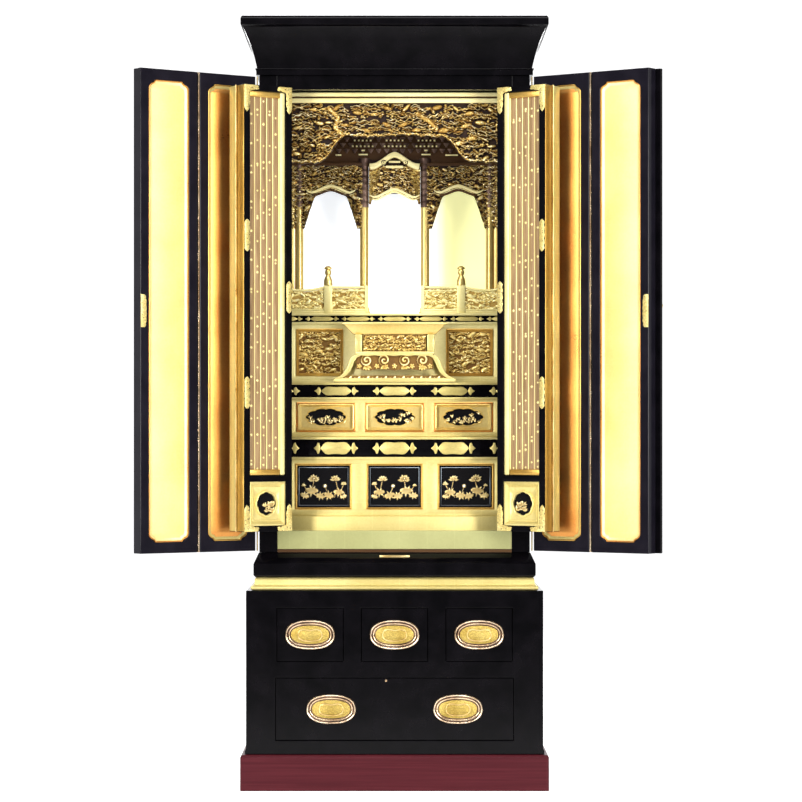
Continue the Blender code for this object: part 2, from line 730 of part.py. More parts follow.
def outer_doors():
    for side, name in SIDES:
        swing = pivot(f"door_{name}_swing", (side * DOOR_PIVOT_X, DOOR_PIVOT_Y, 0.0), side * DOORS_OPEN)
        end = outer_leaf(f"{name}_near", side, swing, HINGE_OFFSET, 0.0)
        strip = (-side * (end + FIT), -side * (end + FIT + EDGE_STRIP))
        put(
            f"edge_strip_{name}",
            block(strip, (0.006 - LEAF_THICK, -0.0005), (LEAF_FOOT, LEAF_HEAD)),
            BRASS,
            swing,
        )
        hinge_rod(
            f"hinge_{name}",
            side * DOOR_PIVOT_X, DOOR_PIVOT_Y, LEAF_FOOT, LEAF_HEAD, BARREL_RADIUS, None
        )
        fold_y = -LEAF_THICK - FOLD_CLEAR
        fold = pivot(f"door_{name}_fold", (-side * LEAF_FOLD_U, fold_y, 0.0), 0.0, swing)
        end = outer_leaf(f"{name}_far", side, fold, LEAF_FOLD_GAP / 2, -fold_y)
        mid_z = (LEAF_HEAD + LEAF_FOOT) / 2
        plate = (-side * (end - 0.0145), -side * (end - 0.0005))
        put(
            f"lock_plate_{name}",
            block(plate, (FIT - fold_y, 0.0011 - fold_y), (mid_z - 0.032, mid_z + 0.032)),
            BRASS,
            fold,
        )
        if side == RIGHT:
            astragal(fold, end, mid_z)


def astragal(fold, end, mid_z):
    """The strip that covers the meeting line, on the right far leaf's front, and its knob."""
    front = FOLD_CLEAR - FIT
    overlap = end + ASTRAGAL_WIDTH / 2
    rounded = ASTRAGAL_THICK * 0.3
    outline = [
        (-(overlap - ASTRAGAL_WIDTH), front),
        (-(overlap - ASTRAGAL_WIDTH), front - ASTRAGAL_THICK + rounded),
        (-(overlap - ASTRAGAL_WIDTH + rounded), front - ASTRAGAL_THICK),
        (-(overlap - rounded), front - ASTRAGAL_THICK),
        (-overlap, front - ASTRAGAL_THICK + rounded),
        (-overlap, front),
    ]
    centre = (0.0, 0.0, mid_z)
    put("astragal", flat(outline, LEAF_HEAD - LEAF_FOOT - 2 * FIT, None, centre), BLACK, fold)
    profile = [
        (0.0, KNOB_REACH),
        (KNOB_RADIUS * 0.7, KNOB_REACH),
        (KNOB_RADIUS, KNOB_REACH * 0.75),
        (KNOB_RADIUS * 0.8, KNOB_REACH * 0.5),
        (KNOB_RADIUS * 0.45, KNOB_REACH * 0.35),
        (KNOB_RADIUS * 0.5, KNOB_REACH * 0.15),
        (KNOB_RADIUS, 0.0),
        (0.0, 0.0),
    ]
    place = Matrix.Translation((-end, front - ASTRAGAL_THICK - FIT, mid_z + 0.011)) @ ACROSS_Y
    put("door_knob", turned(profile, 8, place), BRASS, fold)


# Inner doors


def inner_leaf(name, side, parent, start, front, gold_at_end):
    """A black frame round a gilded panel: lattice bars above the middle rail, a boss panel below.

    front is the y of its decorated face, and gold_at_end says which stile the wide gilded member is by.
    """
    end = start + INNER_WIDTH
    back = front + INNER_THICK
    middle_z = INNER_FOOT + INNER_MIDDLE_Z
    left, right = start + INNER_STILE, end - INNER_STILE
    frame = put(
        f"inner_frame_{name}",
        block((-side * start, -side * end), (front, back), (INNER_FOOT, INNER_HEAD)),
        BLACK,
        parent,
    )
    opening = (INNER_FOOT + INNER_RAIL, INNER_HEAD - INNER_RAIL)
    plate_front = front + 0.010
    plate_back = plate_front + INNER_PLATE
    lower = (opening[0], middle_z - INNER_MIDDLE_RAIL / 2)
    upper = (middle_z + INNER_MIDDLE_RAIL / 2, opening[1])
    across = (-side * left, -side * right)
    cut(frame, [
        block(across, (front - 0.01, plate_front), lower),
        block(across, (front - 0.01, plate_front), upper),
        block(across, (plate_front - FIT, back + 0.01), opening),
    ])
    edge = 2 * FIT
    inside = (-side * (left + edge), -side * (right - edge))
    panel = put(
        f"inner_panel_{name}",
        block(inside, (plate_front, plate_back), (opening[0] + edge, opening[1] - edge)),
        GOLD,
        parent,
    )
    raised = [panel_bars(side, left, right, plate_front, upper, gold_at_end)]
    raised += boss_panel(side, left, right, plate_front, lower)
    join(panel, raised)


def panel_bars(side, left, right, plate_front, upper, gold_at_end):
    """The upright bars as one comb section, and the wide member beside them."""
    edge = 2 * FIT
    if gold_at_end:
        field = (left + edge, right - edge - GOLD_MEMBER)
        member = (right - edge - GOLD_MEMBER, right - edge)
    else:
        field = (left + edge + GOLD_MEMBER, right - edge)
        member = (left + edge, left + edge + GOLD_MEMBER)
    pitch = (field[1] - field[0]) / LATTICE_BARS
    front = plate_front - LATTICE_DEPTH
    height = (upper[0] + edge, upper[1] - edge)
    sink = plate_front + INNER_PLATE / 2
    bars = [
        block(
            (-side * (field[0] + pitch * (i + 0.5) - LATTICE_BAR / 2),
             -side * (field[0] + pitch * (i + 0.5) + LATTICE_BAR / 2)),
            (front, sink),
            height,
        )
        for i in range(LATTICE_BARS)
    ]
    inset = 0.001
    bars.append(block(
        (-side * (member[0] + inset), -side * (member[1] - inset)), (front - 0.003, sink), height
    ))
    return merged(bars)


def boss_panel(side, left, right, plate_front, lower):
    """A raised field with a lobed ring and a carved boss in it."""
    middle = -side * (left + right) / 2
    z = (lower[0] + lower[1]) / 2
    width = right - left - 4 * FIT - 0.008
    height = lower[1] - lower[0] - 0.010
    field = flat(chamfered(width, height, 0.004), 0.006, ACROSS_Y, (middle, plate_front, z))
    ring = flat(
        lobed(2 * MEDALLION_RADIUS, 2 * MEDALLION_RADIUS, 8, 0.12, 12),
        0.005, ACROSS_Y, (middle, plate_front - 0.004, z),
    )
    reach = MEDALLION_RADIUS * 0.43
    petal = (0.007, 0.0022, 0.005)
    bosses = [
        lump(middle + reach * math.cos(a), plate_front - 0.0062, z + reach * math.sin(a), petal, -a)
        for a in (math.pi / 2 + i * 2 * math.pi / 5 for i in range(5))
    ]
    return [field, ring, *bosses]


def inner_doors():
    for side, name in SIDES:
        swing = pivot(f"inner_{name}_swing", (side * INNER_PIVOT_X, FACE_Y, 0.0), side * DOORS_OPEN)
        inner_leaf(f"{name}_near", side, swing, INNER_PIVOT_GAP, 0.0, False)
        fold_y = INNER_THICK + FOLD_CLEAR
        place = (-side * INNER_FOLD_U, fold_y, 0.0)
        fold = pivot(f"inner_{name}_fold", place, math.pi, swing)
        inner_leaf(f"{name}_far", side, fold, INNER_FOLD_GAP / 2, -fold_y, True)
        ends = (INNER_FOOT, INNER_HEAD)
        hinge_rod(f"inner_hinge_{name}", place[0], fold_y, *ends, SMALL_BARREL_RADIUS, swing)


# Inner shrine


def tier_section(front, foot, head, band_top, riser=None):
    """A tier's side outline as y, z points: plinth lip, face, head lip and the band above."""
    back = FACE_Y + TIER_DEEP
    lip = TIER_LIP
    points = [(back, foot)]
    if riser:
        points += [(riser, foot), (riser, foot + RISER_TOP - FIT), (front - lip, foot + RISER_TOP - FIT)]
        low = foot + RISER_TOP - FIT
    else:
        points.append((front - lip, foot))
        low = foot
    points += [
        (front - lip, low + lip),
        (front, low + 2 * lip),
        (front, head - 2 * lip),
        (front - lip, head - lip),
        (front - lip, head),
        (front + BAND_SET_BACK, head + lip),
        (front + BAND_SET_BACK, band_top - 2 * lip),
        (front, band_top - lip),
        (front, band_top),
        (back, band_top),
    ]
    return points


def cartouches(front, foot, head, count):
    """Raised lozenges with a bud at each end, along a band."""
    middle = (foot + head) / 2
    tall = (head - foot) * 0.40
    pitch = 2 * SHRINE_HALF / count
    made = []
    for i in range(count):
        x = -SHRINE_HALF + pitch * (i + 0.5)
        made.append(flat(lobed(pitch * 0.62, tall, 2, 0.10, 8), 0.006, ACROSS_Y, (x, front, middle)))
        for end in (-1, 1):
            made.append(lump(x + end * pitch * 0.38, front, middle, (pitch * 0.10, 0.003, tall * 0.42)))
    return made


def sunk_fields(front, pitch, places, size, z, sink):
    """Cutters for square-edged sunk fields."""
    made = []
    for place in places:
        width, height = size
        made.append(block(
            (place * pitch - width / 2, place * pitch + width / 2),
            (front - 0.02, front + sink),
            (z - height / 2, z + height / 2),
        ))
    return made


def lotus_spray(x, y, z, width, height):
    """Three open flowers on a bed of leaves."""
    made = [lump(x, y, z - height * 0.30, (width * 0.36, 0.003, height * 0.10))]
    for place, lift, reach in ((-0.27, 0.02, 0.8), (0.0, 0.16, 1.0), (0.27, 0.02, 0.8)):
        centre_x, centre_z = x + place * width, z + lift * height
        for i in range(3):
            lean = (i - 1) * 0.75
            made.append(lump(
                centre_x + math.sin(lean) * width * 0.055 * reach,
                y,
                centre_z + math.cos(lean) * height * 0.10 * reach,
                (width * 0.034, 0.004, height * 0.17 * reach),
                lean,
            ))
        made.append(lump(centre_x, y, centre_z - height * 0.14, (width * 0.10, 0.003, height * 0.06)))
    return made


def scroll_relief(x, y, z, width, height, rows=2, columns=4):
    """Rolling leaves that lean one way and the other over a field."""
    made = [lump(x, y, z, (width * 0.42, 0.0028, height * 0.12))]
    for i in range(columns):
        for j in range(rows):
            across = (i + 0.5) / columns - 0.5
            up = (j + 0.5) / rows - 0.5
            lean = 0.8 if (i + j) % 2 else -0.8
            made.append(lump(
                x + across * width * 0.86,
                y,
                z + up * height * 0.80,
                (width * 0.52 / columns, 0.0046, height * 0.26 / rows),
                lean,
            ))
    return made


def tiers():
    foot = FLOOR + FIT
    width = 2 * SHRINE_HALF
    three, two = (-1, 0, 1), (-1, 1)

    front = FACE_Y + LOWER_TIER_BACK
    head, band = LOWER_TIER_TOP, LOWER_BAND_TOP
    size = (LOWER_PANEL_WIDTH, LOWER_PANEL_HEIGHT)
    section = tier_section(front, foot, head, band, FACE_Y + RISER_BACK)
    lower = put("lower_tier", flat(section, width, ACROSS_X), GOLD)
    z = (head + foot + RISER_TOP) / 2
    cut(lower, sunk_fields(front, LOWER_PANEL_PITCH, three, size, z, PANEL_SINK))
    carving = cartouches(front + BAND_SET_BACK, head, band, 4)
    for place in three:
        carving += lotus_spray(place * LOWER_PANEL_PITCH, front + PANEL_SINK, z, *size)
    join(lower, carving)

    front = FACE_Y + MIDDLE_TIER_BACK
    foot = band + FIT
    head, band = MIDDLE_TIER_TOP, MIDDLE_BAND_TOP
    size = (MIDDLE_PANEL_WIDTH, MIDDLE_PANEL_HEIGHT)
    middle = put("middle_tier", flat(tier_section(front, foot, head, band), width, ACROSS_X), GOLD)
    z = (head + foot) / 2
    cut(middle, sunk_fields(front, MIDDLE_PANEL_PITCH, three, size, z, PANEL_SINK * 0.6))
    ovals = []
    oval_size = (size[0] * 0.80, size[1] * 0.66)
    for place in three:
        ovals.append(flat(
            lobed(*oval_size, 6, 0.14, 12), 2 * PANEL_SINK, ACROSS_Y,
            (place * MIDDLE_PANEL_PITCH, front + PANEL_SINK * 0.3, z),
        ))
    cut(middle, ovals)
    carving = cartouches(front + BAND_SET_BACK, head, band, 4)
    for place in three:
        x = place * MIDDLE_PANEL_PITCH
        carving += scroll_relief(x, front + PANEL_SINK * 1.3, z, oval_size[0] * 0.8, oval_size[1] * 0.7, 1, 4)
    join(middle, carving)

    front = FACE_Y + UPPER_TIER_BACK
    foot = band + FIT
    head, band = UPPER_TIER_TOP, UPPER_BAND_TOP
    size = (UPPER_PANEL_SIZE, UPPER_PANEL_SIZE)
    upper = put("upper_tier", flat(tier_section(front, foot, head, band), width, ACROSS_X), GOLD)
    z = (head + foot) / 2
    cut(upper, sunk_fields(front, UPPER_PANEL_PITCH, two, size, z, PANEL_SINK))
    carving = []
    for place in two:
        carving += scroll_relief(place * UPPER_PANEL_PITCH, front + PANEL_SINK, z, *size, 3, 4)
    join(upper, carving)


def sutra_table():
    """A low table on bowed legs: one board front to back, opened between the legs both ways."""
    foot = MIDDLE_BAND_TOP + FIT
    top = TABLE_HEIGHT
    slab = top - TABLE_TOP
    half = TABLE_WIDTH / 2
    waist = half * 0.80
    foot_half = TABLE_FOOT_WIDTH / 2
    right = [
        (foot_half, 0.0),
        (foot_half, 0.008),
        (foot_half - 0.010, 0.012),
        (waist + 0.010, 0.020),
        (waist - 0.002, 0.038),
        (waist + 0.010, 0.056),
        (waist + 0.006, 0.064),
        (waist, 0.068),
        (waist, slab - 0.006),
        (half - 0.006, slab),
        (half, slab + 0.005),
        (half, top - 0.004),
        (half - 0.003, top),
    ]
    front = TABLE_FRONT
    centre = (0.0, front + TABLE_DEPTH / 2, foot)
    table = put("sutra_table", flat(mirrored(right), TABLE_DEPTH, ACROSS_Y, centre), GOLD)
    gap = waist - 0.022
    arch = [
        (gap + 0.010, 0.010),
        (gap, 0.024),
        (gap - 0.004, 0.036),
        (gap * 0.62, 0.046),
        (gap * 0.30, 0.040),
    ]
    cutters = [flat(mirrored(arch), TABLE_DEPTH + 0.02, ACROSS_Y, centre)]
    inner = TABLE_DEPTH / 2 - TABLE_WALL
    cutters.append(block((-foot_half - 0.01, foot_half + 0.01), (centre[1] - inner, centre[1] + inner),
                         (foot + 0.0125, foot + 0.0415)))
    cut(table, cutters)
    z = foot + (0.068 + slab - 0.006) / 2
    join(table, scroll_relief(0.0, front, z, 2 * waist * 0.8, slab - 0.076, 1, 4)
         + scroll_relief(0.0, front + 0.0005, foot + 0.056, 2 * waist * 0.5, 0.012, 1, 2))


def balustrades():
    y = RAIL_Y
    thick = RAIL_THICK
    for side, name in SIDES:
        inner, outer = RAIL_INNER_END, SHRINE_HALF
        ends = (side * inner, side * outer)
        low, high = RAIL_FOOT, RAIL_FOOT + RAIL_HEIGHT
        rail = put(f"balustrade_{name}", block(ends, (y, y + thick), (low, low + 0.010)), GOLD)
        stations = [min(ends) + abs(outer - inner) * i / 10 for i in range(11)]
        carving = carved(
            stations, 2,
            lambda x: low + 0.008,
            lambda x: high - 0.006,
            lambda x, z: y + 0.0026 - 0.0022 * abs(math.sin(x * 170) * math.cos(z * 120)),
            y + thick - 0.002,
        )
        parts = [carving, block(ends, (y - 0.001, y + thick + 0.001), (high - 0.008, high))]
        for x in (side * inner, side * outer):
            edge = x + (side if x == side * inner else -side) * END_POST / 2
            across = (edge - END_POST / 2, edge + END_POST / 2)
            parts.append(block(across, (y - 0.0015, y + thick), (low + 0.002, high + 0.002)))
        r = POST_RADIUS
        top = POST_HEIGHT
        profile = [
            (0.0, top), (r * 0.85, top - 0.013), (r * 0.95, top - 0.022),
            (r * 0.5, top - 0.030), (r * 1.1, top - 0.034), (r * 0.8, top - 0.040),
            (r * 0.8, 0.0005), (0.0, 0.0005),
        ]
        place = Matrix.Translation((side * POST_PLACE, y + thick / 2, low))
        parts.append(turned(profile, 6, place))
        join(rail, parts)


def columns():
    """Four turned columns on the upper tier, with a base and a cap each."""
    r = COLUMN_RADIUS
    top = COLUMN_HEIGHT
    profile = [
        (0.0, top), (r * 1.35, top), (r * 1.35, top - 0.006), (r, top - 0.012),
        (r, 0.018), (r * 1.4, 0.010), (r * 1.4, 0.0), (0.0, 0.0),
    ]
    for side, name in SIDES:
        for place, where in ((COLUMN_INNER, "inner"), (COLUMN_OUTER, "outer")):
            matrix = Matrix.Translation((side * place, COLUMN_Y, RAIL_FOOT))
            put(f"column_{name}_{where}", turned(profile, 8, matrix), DARK_GOLD)


def arch_edge(reach, half, foot, crown):
    """Lower edge of a bell-shaped arch at a distance from its middle."""
    shoulder = half * 0.58
    rise = crown - foot
    if reach >= half:
        return foot
    if reach > shoulder:
        return foot + rise * 0.82 * (half - reach) / (half - shoulder)
    share = 1 - reach / shoulder
    return foot + rise * (0.82 + 0.18 * (0.5 * share + 0.5 * share**3) + 0.03 * math.sin(math.pi * share))


def arcade():
    """The carved head of the three bays, on the columns, with a small curved gable in the middle."""
    y = COLUMN_Y - ARCADE_THICK / 2
    beam = RAIL_FOOT + COLUMN_HEIGHT + FIT
    clear = COLUMN_RADIUS * 1.35 + 0.001
    bays = [
        (-(COLUMN_OUTER + COLUMN_INNER) / 2, (COLUMN_OUTER - COLUMN_INNER) / 2 - clear, 0.0),
        (0.0, COLUMN_INNER - clear, 0.012),
        ((COLUMN_OUTER + COLUMN_INNER) / 2, (COLUMN_OUTER - COLUMN_INNER) / 2 - clear, 0.0),
    ]
    step = 0.0004
    stations = [-SHRINE_HALF]
    for middle, half, _ in bays:
        stations += [middle - half - step, *(middle + half * share / 6 for share in range(-6, 7)),
                     middle + half + step]
    stations.append(SHRINE_HALF)

    def low(x):
        for middle, half, lift in bays:
            reach = abs(x - middle)
            if reach <= half + step / 2:
                crown = beam - ARCH_CROWN_DROP + lift
                return arch_edge(reach, half * 0.93, beam - ARCH_FOOT_DROP + lift, crown)
        return beam

    def front(x, z):
        depth = noise.noise(Vector((x * 75, 4.0, z * 75)))
        return y - 0.0045 * max(0.0, depth + 0.45)

    board = carved(stations, 3, low, lambda x: beam + ARCADE_HEIGHT, front, y + ARCADE_THICK)
    head = put("arcade", board, DARK_GOLD)
    gable = []
    half = 0.052
    for i in range(9):
        share = i / 4 - 1
        gable.append((half * share, 0.016 * (1 - share**2) ** 1.5 + 0.004 * share**4))
    thick = 0.007
    outline = gable + [(x * 0.94, z - thick) for x, z in reversed(gable)]
    join(head, [flat(outline, 0.022, ACROSS_Y, (0.0, y - 0.004, beam - 0.014))])


def screen():
    y = FACE_Y + TIER_DEEP + FIT
    height = (FLOOR + FIT, RAIL_FOOT + COLUMN_HEIGHT + ARCADE_HEIGHT)
    put("bay_screen", block((-SHRINE_HALF, SHRINE_HALF), (y, y + SCREEN_THICK), height), PALE)


def transom():
    """The carved and contoured transom under its two head rails."""
    y = FACE_Y + TRANSOM_BACK
    top = CEILING - TRANSOM_DROP
    rail = top - TRANSOM_RAIL
    inner, outer = 0.090, 0.142
    count = 34
    stations = [-SHRINE_HALF + 2 * SHRINE_HALF * i / count for i in range(count + 1)]

    def low(x):
        share = min(1.0, max(0.0, (abs(x) - inner) / (outer - inner)))
        smooth = share * share * (3 - 2 * share)
        drop = TRANSOM_HIGH + (TRANSOM_LOW - TRANSOM_HIGH) * smooth
        return CEILING - drop + 0.0035 * math.sin(x * 210)

    def front(x, z):
        clouds = noise.noise(Vector((x * 42, 1.0, z * 60)))
        twigs = noise.noise(Vector((x * 95, 7.0, z * 95)))
        return y + 0.006 - 0.008 * max(0.0, clouds + 0.35) - 0.003 * max(0.0, twigs)

    board = carved(stations, 6, low, lambda x: rail + 0.004, front, y + TRANSOM_THICK)
    across = (-SHRINE_HALF, SHRINE_HALF)
    head = put("transom", block(across, (y, y + TRANSOM_THICK + 0.002), (rail, top)), DARK_GOLD)
    groove = (rail + TRANSOM_RAIL * 0.42, rail + TRANSOM_RAIL * 0.58)
    cut(head, [block((-INSIDE_HALF, INSIDE_HALF), (y - 0.01, y + 0.004), groove)])
    join(head, [board])


plinth()
base_cabinet()
drawers()
moulding()
sill()
carcase()
cornice()
outer_doors()
inner_doors()
tiers()
sutra_table()
balustrades()
columns()
arcade()
screen()
transom()
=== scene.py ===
# %% [markdown]
# # A gilded household altar cabinet
# The cabinet's solids come packed as a frame, in metres, with the front facing -Y. This notebook
# dresses them: it rounds the lacquered boards, carves the gilded woodwork, chases the brass and
# gives every surface its finish. Nothing here moves a solid, so the doors and drawers still work.

# %% The frame and the tools
import json
import math

import bmesh
import bpy
import numpy as np
from mathutils import Matrix, Vector


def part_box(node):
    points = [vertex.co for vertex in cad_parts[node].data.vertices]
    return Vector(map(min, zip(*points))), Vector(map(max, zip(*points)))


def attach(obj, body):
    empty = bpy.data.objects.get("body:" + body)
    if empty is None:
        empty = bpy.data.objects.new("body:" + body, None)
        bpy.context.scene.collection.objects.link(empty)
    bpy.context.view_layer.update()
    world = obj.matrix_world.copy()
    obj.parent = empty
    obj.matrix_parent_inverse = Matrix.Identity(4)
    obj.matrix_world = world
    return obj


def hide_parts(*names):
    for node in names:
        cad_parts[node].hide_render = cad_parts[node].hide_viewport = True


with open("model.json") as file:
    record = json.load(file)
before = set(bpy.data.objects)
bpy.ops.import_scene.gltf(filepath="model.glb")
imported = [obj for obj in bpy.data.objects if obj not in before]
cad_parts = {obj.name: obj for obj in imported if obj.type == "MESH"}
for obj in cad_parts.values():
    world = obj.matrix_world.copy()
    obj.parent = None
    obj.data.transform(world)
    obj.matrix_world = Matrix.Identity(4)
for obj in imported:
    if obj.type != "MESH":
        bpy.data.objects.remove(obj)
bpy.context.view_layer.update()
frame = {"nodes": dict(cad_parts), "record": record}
scene = bpy.context.scene
SIDES = ((-1, "left"), (1, "right"))
MM = 0.001

# %% [markdown]
# ## Camera
# The photograph was taken level, with a long lens from straight in front, so that uprights stay
# upright. A plane camera with a little shift does the same: the shift moves the picture on the
# film without tilting the camera, as a view camera's rising front does.

# %% Camera
FRAME_PIXELS = 802
CARCASE_PIXELS_PER_METRE = 500.0
SENSOR_WIDTH = 36.0
CAMERA_DISTANCE = 6.18  # from the carcase's face
CAMERA_HEIGHT = 0.717
CAMERA_SHIFT = (0.008, 0.036)
FACE_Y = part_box("side_left")[0].y

camera = bpy.data.objects.new("camera", bpy.data.cameras.new("camera"))
scene.collection.objects.link(camera)
camera.location = (0.0, FACE_Y - CAMERA_DISTANCE, CAMERA_HEIGHT)
camera.rotation_euler = (math.pi / 2, 0.0, 0.0)
camera.data.sensor_width = SENSOR_WIDTH
camera.data.lens = SENSOR_WIDTH * CARCASE_PIXELS_PER_METRE * CAMERA_DISTANCE / FRAME_PIXELS
camera.data.shift_x, camera.data.shift_y = CAMERA_SHIFT
camera.data.clip_end = 200.0
scene.camera = camera
print("lens:", round(camera.data.lens, 1), "mm")

# %% [markdown]
# ## Light
# Black lacquer is a mirror, so it is lit by what it mirrors. The world is white behind the cabinet
# and grey behind the camera: the background stays clean, and the black boards stay black. Large
# soft lamps stand high and to the sides, where a mirror misses them but satin gold does not.

# %% World, floor and lamps
WORLD_BEHIND = (1.0, 1.0, 1.0, 1.0)
WORLD_FRONT = (0.20, 0.20, 0.21, 1.0)
FLOOR_SIZE = 30.0

scene.view_settings.view_transform = "Standard"
world = bpy.data.worlds.new("studio")
scene.world = world
world.use_nodes = True
sky = world.node_tree.nodes
toward = sky.new("ShaderNodeTexCoord")
split = sky.new("ShaderNodeSeparateXYZ")
fade = sky.new("ShaderNodeMapRange")
fade.inputs["From Min"].default_value = -0.25
fade.inputs["From Max"].default_value = 0.70
fade.interpolation_type = "SMOOTHSTEP"
tone = sky.new("ShaderNodeMix")
tone.data_type = "RGBA"
tone.inputs[6].default_value = WORLD_FRONT
tone.inputs[7].default_value = WORLD_BEHIND
world.node_tree.links.new(toward.outputs["Generated"], split.inputs[0])
world.node_tree.links.new(split.outputs["Y"], fade.inputs["Value"])
world.node_tree.links.new(fade.outputs[0], tone.inputs[0])
world.node_tree.links.new(tone.outputs[2], sky["Background"].inputs["Color"])
sky["Background"].inputs["Strength"].default_value = 1.15

floor_mesh = bpy.data.meshes.new("floor")
flat_floor = bmesh.new()
bmesh.ops.create_grid(flat_floor, x_segments=1, y_segments=1, size=FLOOR_SIZE)
flat_floor.to_mesh(floor_mesh)
flat_floor.free()
floor = bpy.data.objects.new("floor", floor_mesh)
scene.collection.objects.link(floor)


def lamp(name, place, aim, size, power, tint=(1.0, 1.0, 1.0)):
    """A soft rectangular lamp that looks at a point."""
    data = bpy.data.lights.new(name, "AREA")
    data.shape = "RECTANGLE"
    data.size, data.size_y = size
    data.energy = power
    data.color = tint
    made = bpy.data.objects.new(name, data)
    scene.collection.objects.link(made)
    made.location = place
    made.rotation_euler = (Vector(aim) - Vector(place)).to_track_quat("-Z", "Y").to_euler()


lamp("key_left", (-2.6, -3.4, 2.5), (0.0, -0.1, 0.85), (1.6, 2.2), 82.0, (1.0, 0.98, 0.94))
lamp("key_right", (2.6, -3.4, 2.1), (0.0, -0.1, 0.80), (1.6, 2.2), 72.0, (1.0, 0.98, 0.95))
lamp("top_front", (0.0, -2.3, 3.1), (0.0, -0.1, 1.0), (2.0, 0.9), 46.0)
lamp("back_wash", (0.0, 3.2, 2.6), (0.0, 0.2, 0.8), (3.0, 1.6), 70.0)
lamp("side_left", (-1.9, -3.2, 1.0), (0.0, 0.0, 1.2), (0.7, 1.2), 54.0, (1.0, 0.98, 0.95))
lamp("side_right", (1.9, -3.2, 1.0), (0.0, 0.0, 1.2), (0.7, 1.2), 54.0, (1.0, 0.98, 0.95))

# %% [markdown]
# ## Writing finishes as sums
# A finish is a web of nodes, and a sum such as 0.1 + 0.05 * mottle is easier to read than four
# nodes and their links. The small class below wraps an output, so that Python's own signs add the
# Math nodes. Colours never go through them, because a Math node would turn a colour grey.

# %% Wire and Finish
class Wire:
    """A node's output that Python's signs work on: each sign adds one Math node."""

    def __init__(self, finish, socket):
        self.finish = finish
        self.socket = socket

    def math(self, operation, *values):
        return self.finish.add("ShaderNodeMath", {"operation": operation}, dict(enumerate(values)))

    def __add__(self, other):
        return self.math("ADD", self, other)

    __radd__ = __add__

    def __sub__(self, other):
        return self.math("SUBTRACT", self, other)

    def __rsub__(self, other):
        return self.math("SUBTRACT", other, self)

    def __mul__(self, other):
        return self.math("MULTIPLY", self, other)

    __rmul__ = __mul__

    def __truediv__(self, other):
        return self.math("DIVIDE", self, other)

    def fraction(self):
        return self.math("FRACT", self)

    def size(self):
        return self.math("ABSOLUTE", self)

    def held(self, low=0.0, high=1.0):
        """The value kept between two limits."""
        return self.math("MINIMUM", self.math("MAXIMUM", self, low), high)

    def step(self, low, high):
        """0 below low, 1 above high and a straight slope between."""
        return ((self - low) / (high - low)).held()


class Finish:
    """A material with one Principled shader, and the nodes that feed it."""

    def __init__(self, name, **constants):
        self.material = bpy.data.materials.new(name)
        self.material.use_nodes = True
        self.tree = self.material.node_tree
        self.shader = self.tree.nodes["Principled BSDF"]
        for word, value in constants.items():
            self.feed(value, self.shader.inputs[word.replace("_", " ")])

    def feed(self, value, socket):
        if isinstance(value, Wire):
            self.tree.links.new(value.socket, socket)
        else:
            socket.default_value = value

    def add(self, kind, settings=None, values=None, out=0):
        """Adds a node: its settings first, then its sockets' values or wires."""
        node = self.tree.nodes.new(kind)
        for name, value in (settings or {}).items():
            if name == "stops":
                self.stops(node.color_ramp, value)
            else:
                setattr(node, name, value)
        for key, value in (values or {}).items():
            self.feed(value, node.inputs[key])
        return Wire(self, node.outputs[out])

    @staticmethod
    def stops(ramp, values):
        """Sets a ramp's stops: pairs of a place and a colour."""
        while len(ramp.elements) < len(values):
            ramp.elements.new(1.0)
        for element, (place, colour) in zip(ramp.elements, values):
            element.position = place
            element.color = (*colour, 1.0)

    def place(self):
        return self.add("ShaderNodeTexCoord", out="Object")

    def axes(self):
        """Object coordinates as three wires."""
        node = self.tree.nodes.new("ShaderNodeSeparateXYZ")
        self.feed(self.place(), node.inputs[0])
        return [Wire(self, socket) for socket in node.outputs]

    def stretched(self, scale):
        return self.add("ShaderNodeMapping", {}, {"Vector": self.place(), "Scale": scale})

    def mottle(self, scale, detail=3.0, where=None):
        """Soft noise between 0 and 1."""
        values = {"Vector": where or self.place(), "Scale": scale, "Detail": detail}
        return self.add("ShaderNodeTexNoise", {}, values)

    def ramp(self, factor, stops):
        return self.add("ShaderNodeValToRGB", {"stops": stops}, {"Fac": factor})

    def blend(self, factor, first, second):
        """One colour fading into another."""
        colours = [c if isinstance(c, Wire) else (*c, 1.0) for c in (first, second)]
        values = {0: factor, 6: colours[0], 7: colours[1]}
        return self.add("ShaderNodeMix", {"data_type": "RGBA"}, values, 2)

    def set(self, word, value):
        self.feed(value, self.shader.inputs[word])

    def bump(self, height, distance, strength=1.0):
        values = {"Height": height, "Distance": distance, "Strength": strength}
        self.set("Normal", self.add("ShaderNodeBump", {}, values))


print("finishes are ready to be mixed")

# %% [markdown]
# ## Lacquer
# Urushi lacquer is polished coat by coat until it is a mirror, but it never lies quite flat: a slow
# swell of the surface bends what it mirrors. A low bump from large soft noise gives that swell, and
# finer noise in the roughness gives the haze that handling leaves. One function mixes four coats:
# black for the carcase, a softer black for the doors, maroon for the plinth and brown for the
# floor board and the hollows.

# %% Lacquers
LACQUER_SWELL = 0.5 * MM


def lacquer(name, deep, light, gloss, haze, grain=(9.0, 9.0, 9.0)):
    """A lacquered board: two near tones, a gloss and its haze, and a slow swell."""
    coat = Finish(name, Specular_IOR_Level=0.11)
    cloud = coat.mottle(3.0, 4.0, coat.stretched(grain))
    dust = coat.mottle(420.0, 2.0)
    coat.set("Base Color", coat.blend(cloud.step(0.35, 0.70), deep, light))
    coat.set("Roughness", gloss + haze * cloud + 0.04 * dust.step(0.60, 0.80))
    coat.bump(coat.mottle(14.0, 1.0) + 0.05 * coat.mottle(160.0, 1.0), LACQUER_SWELL, 0.10)
    return coat.material


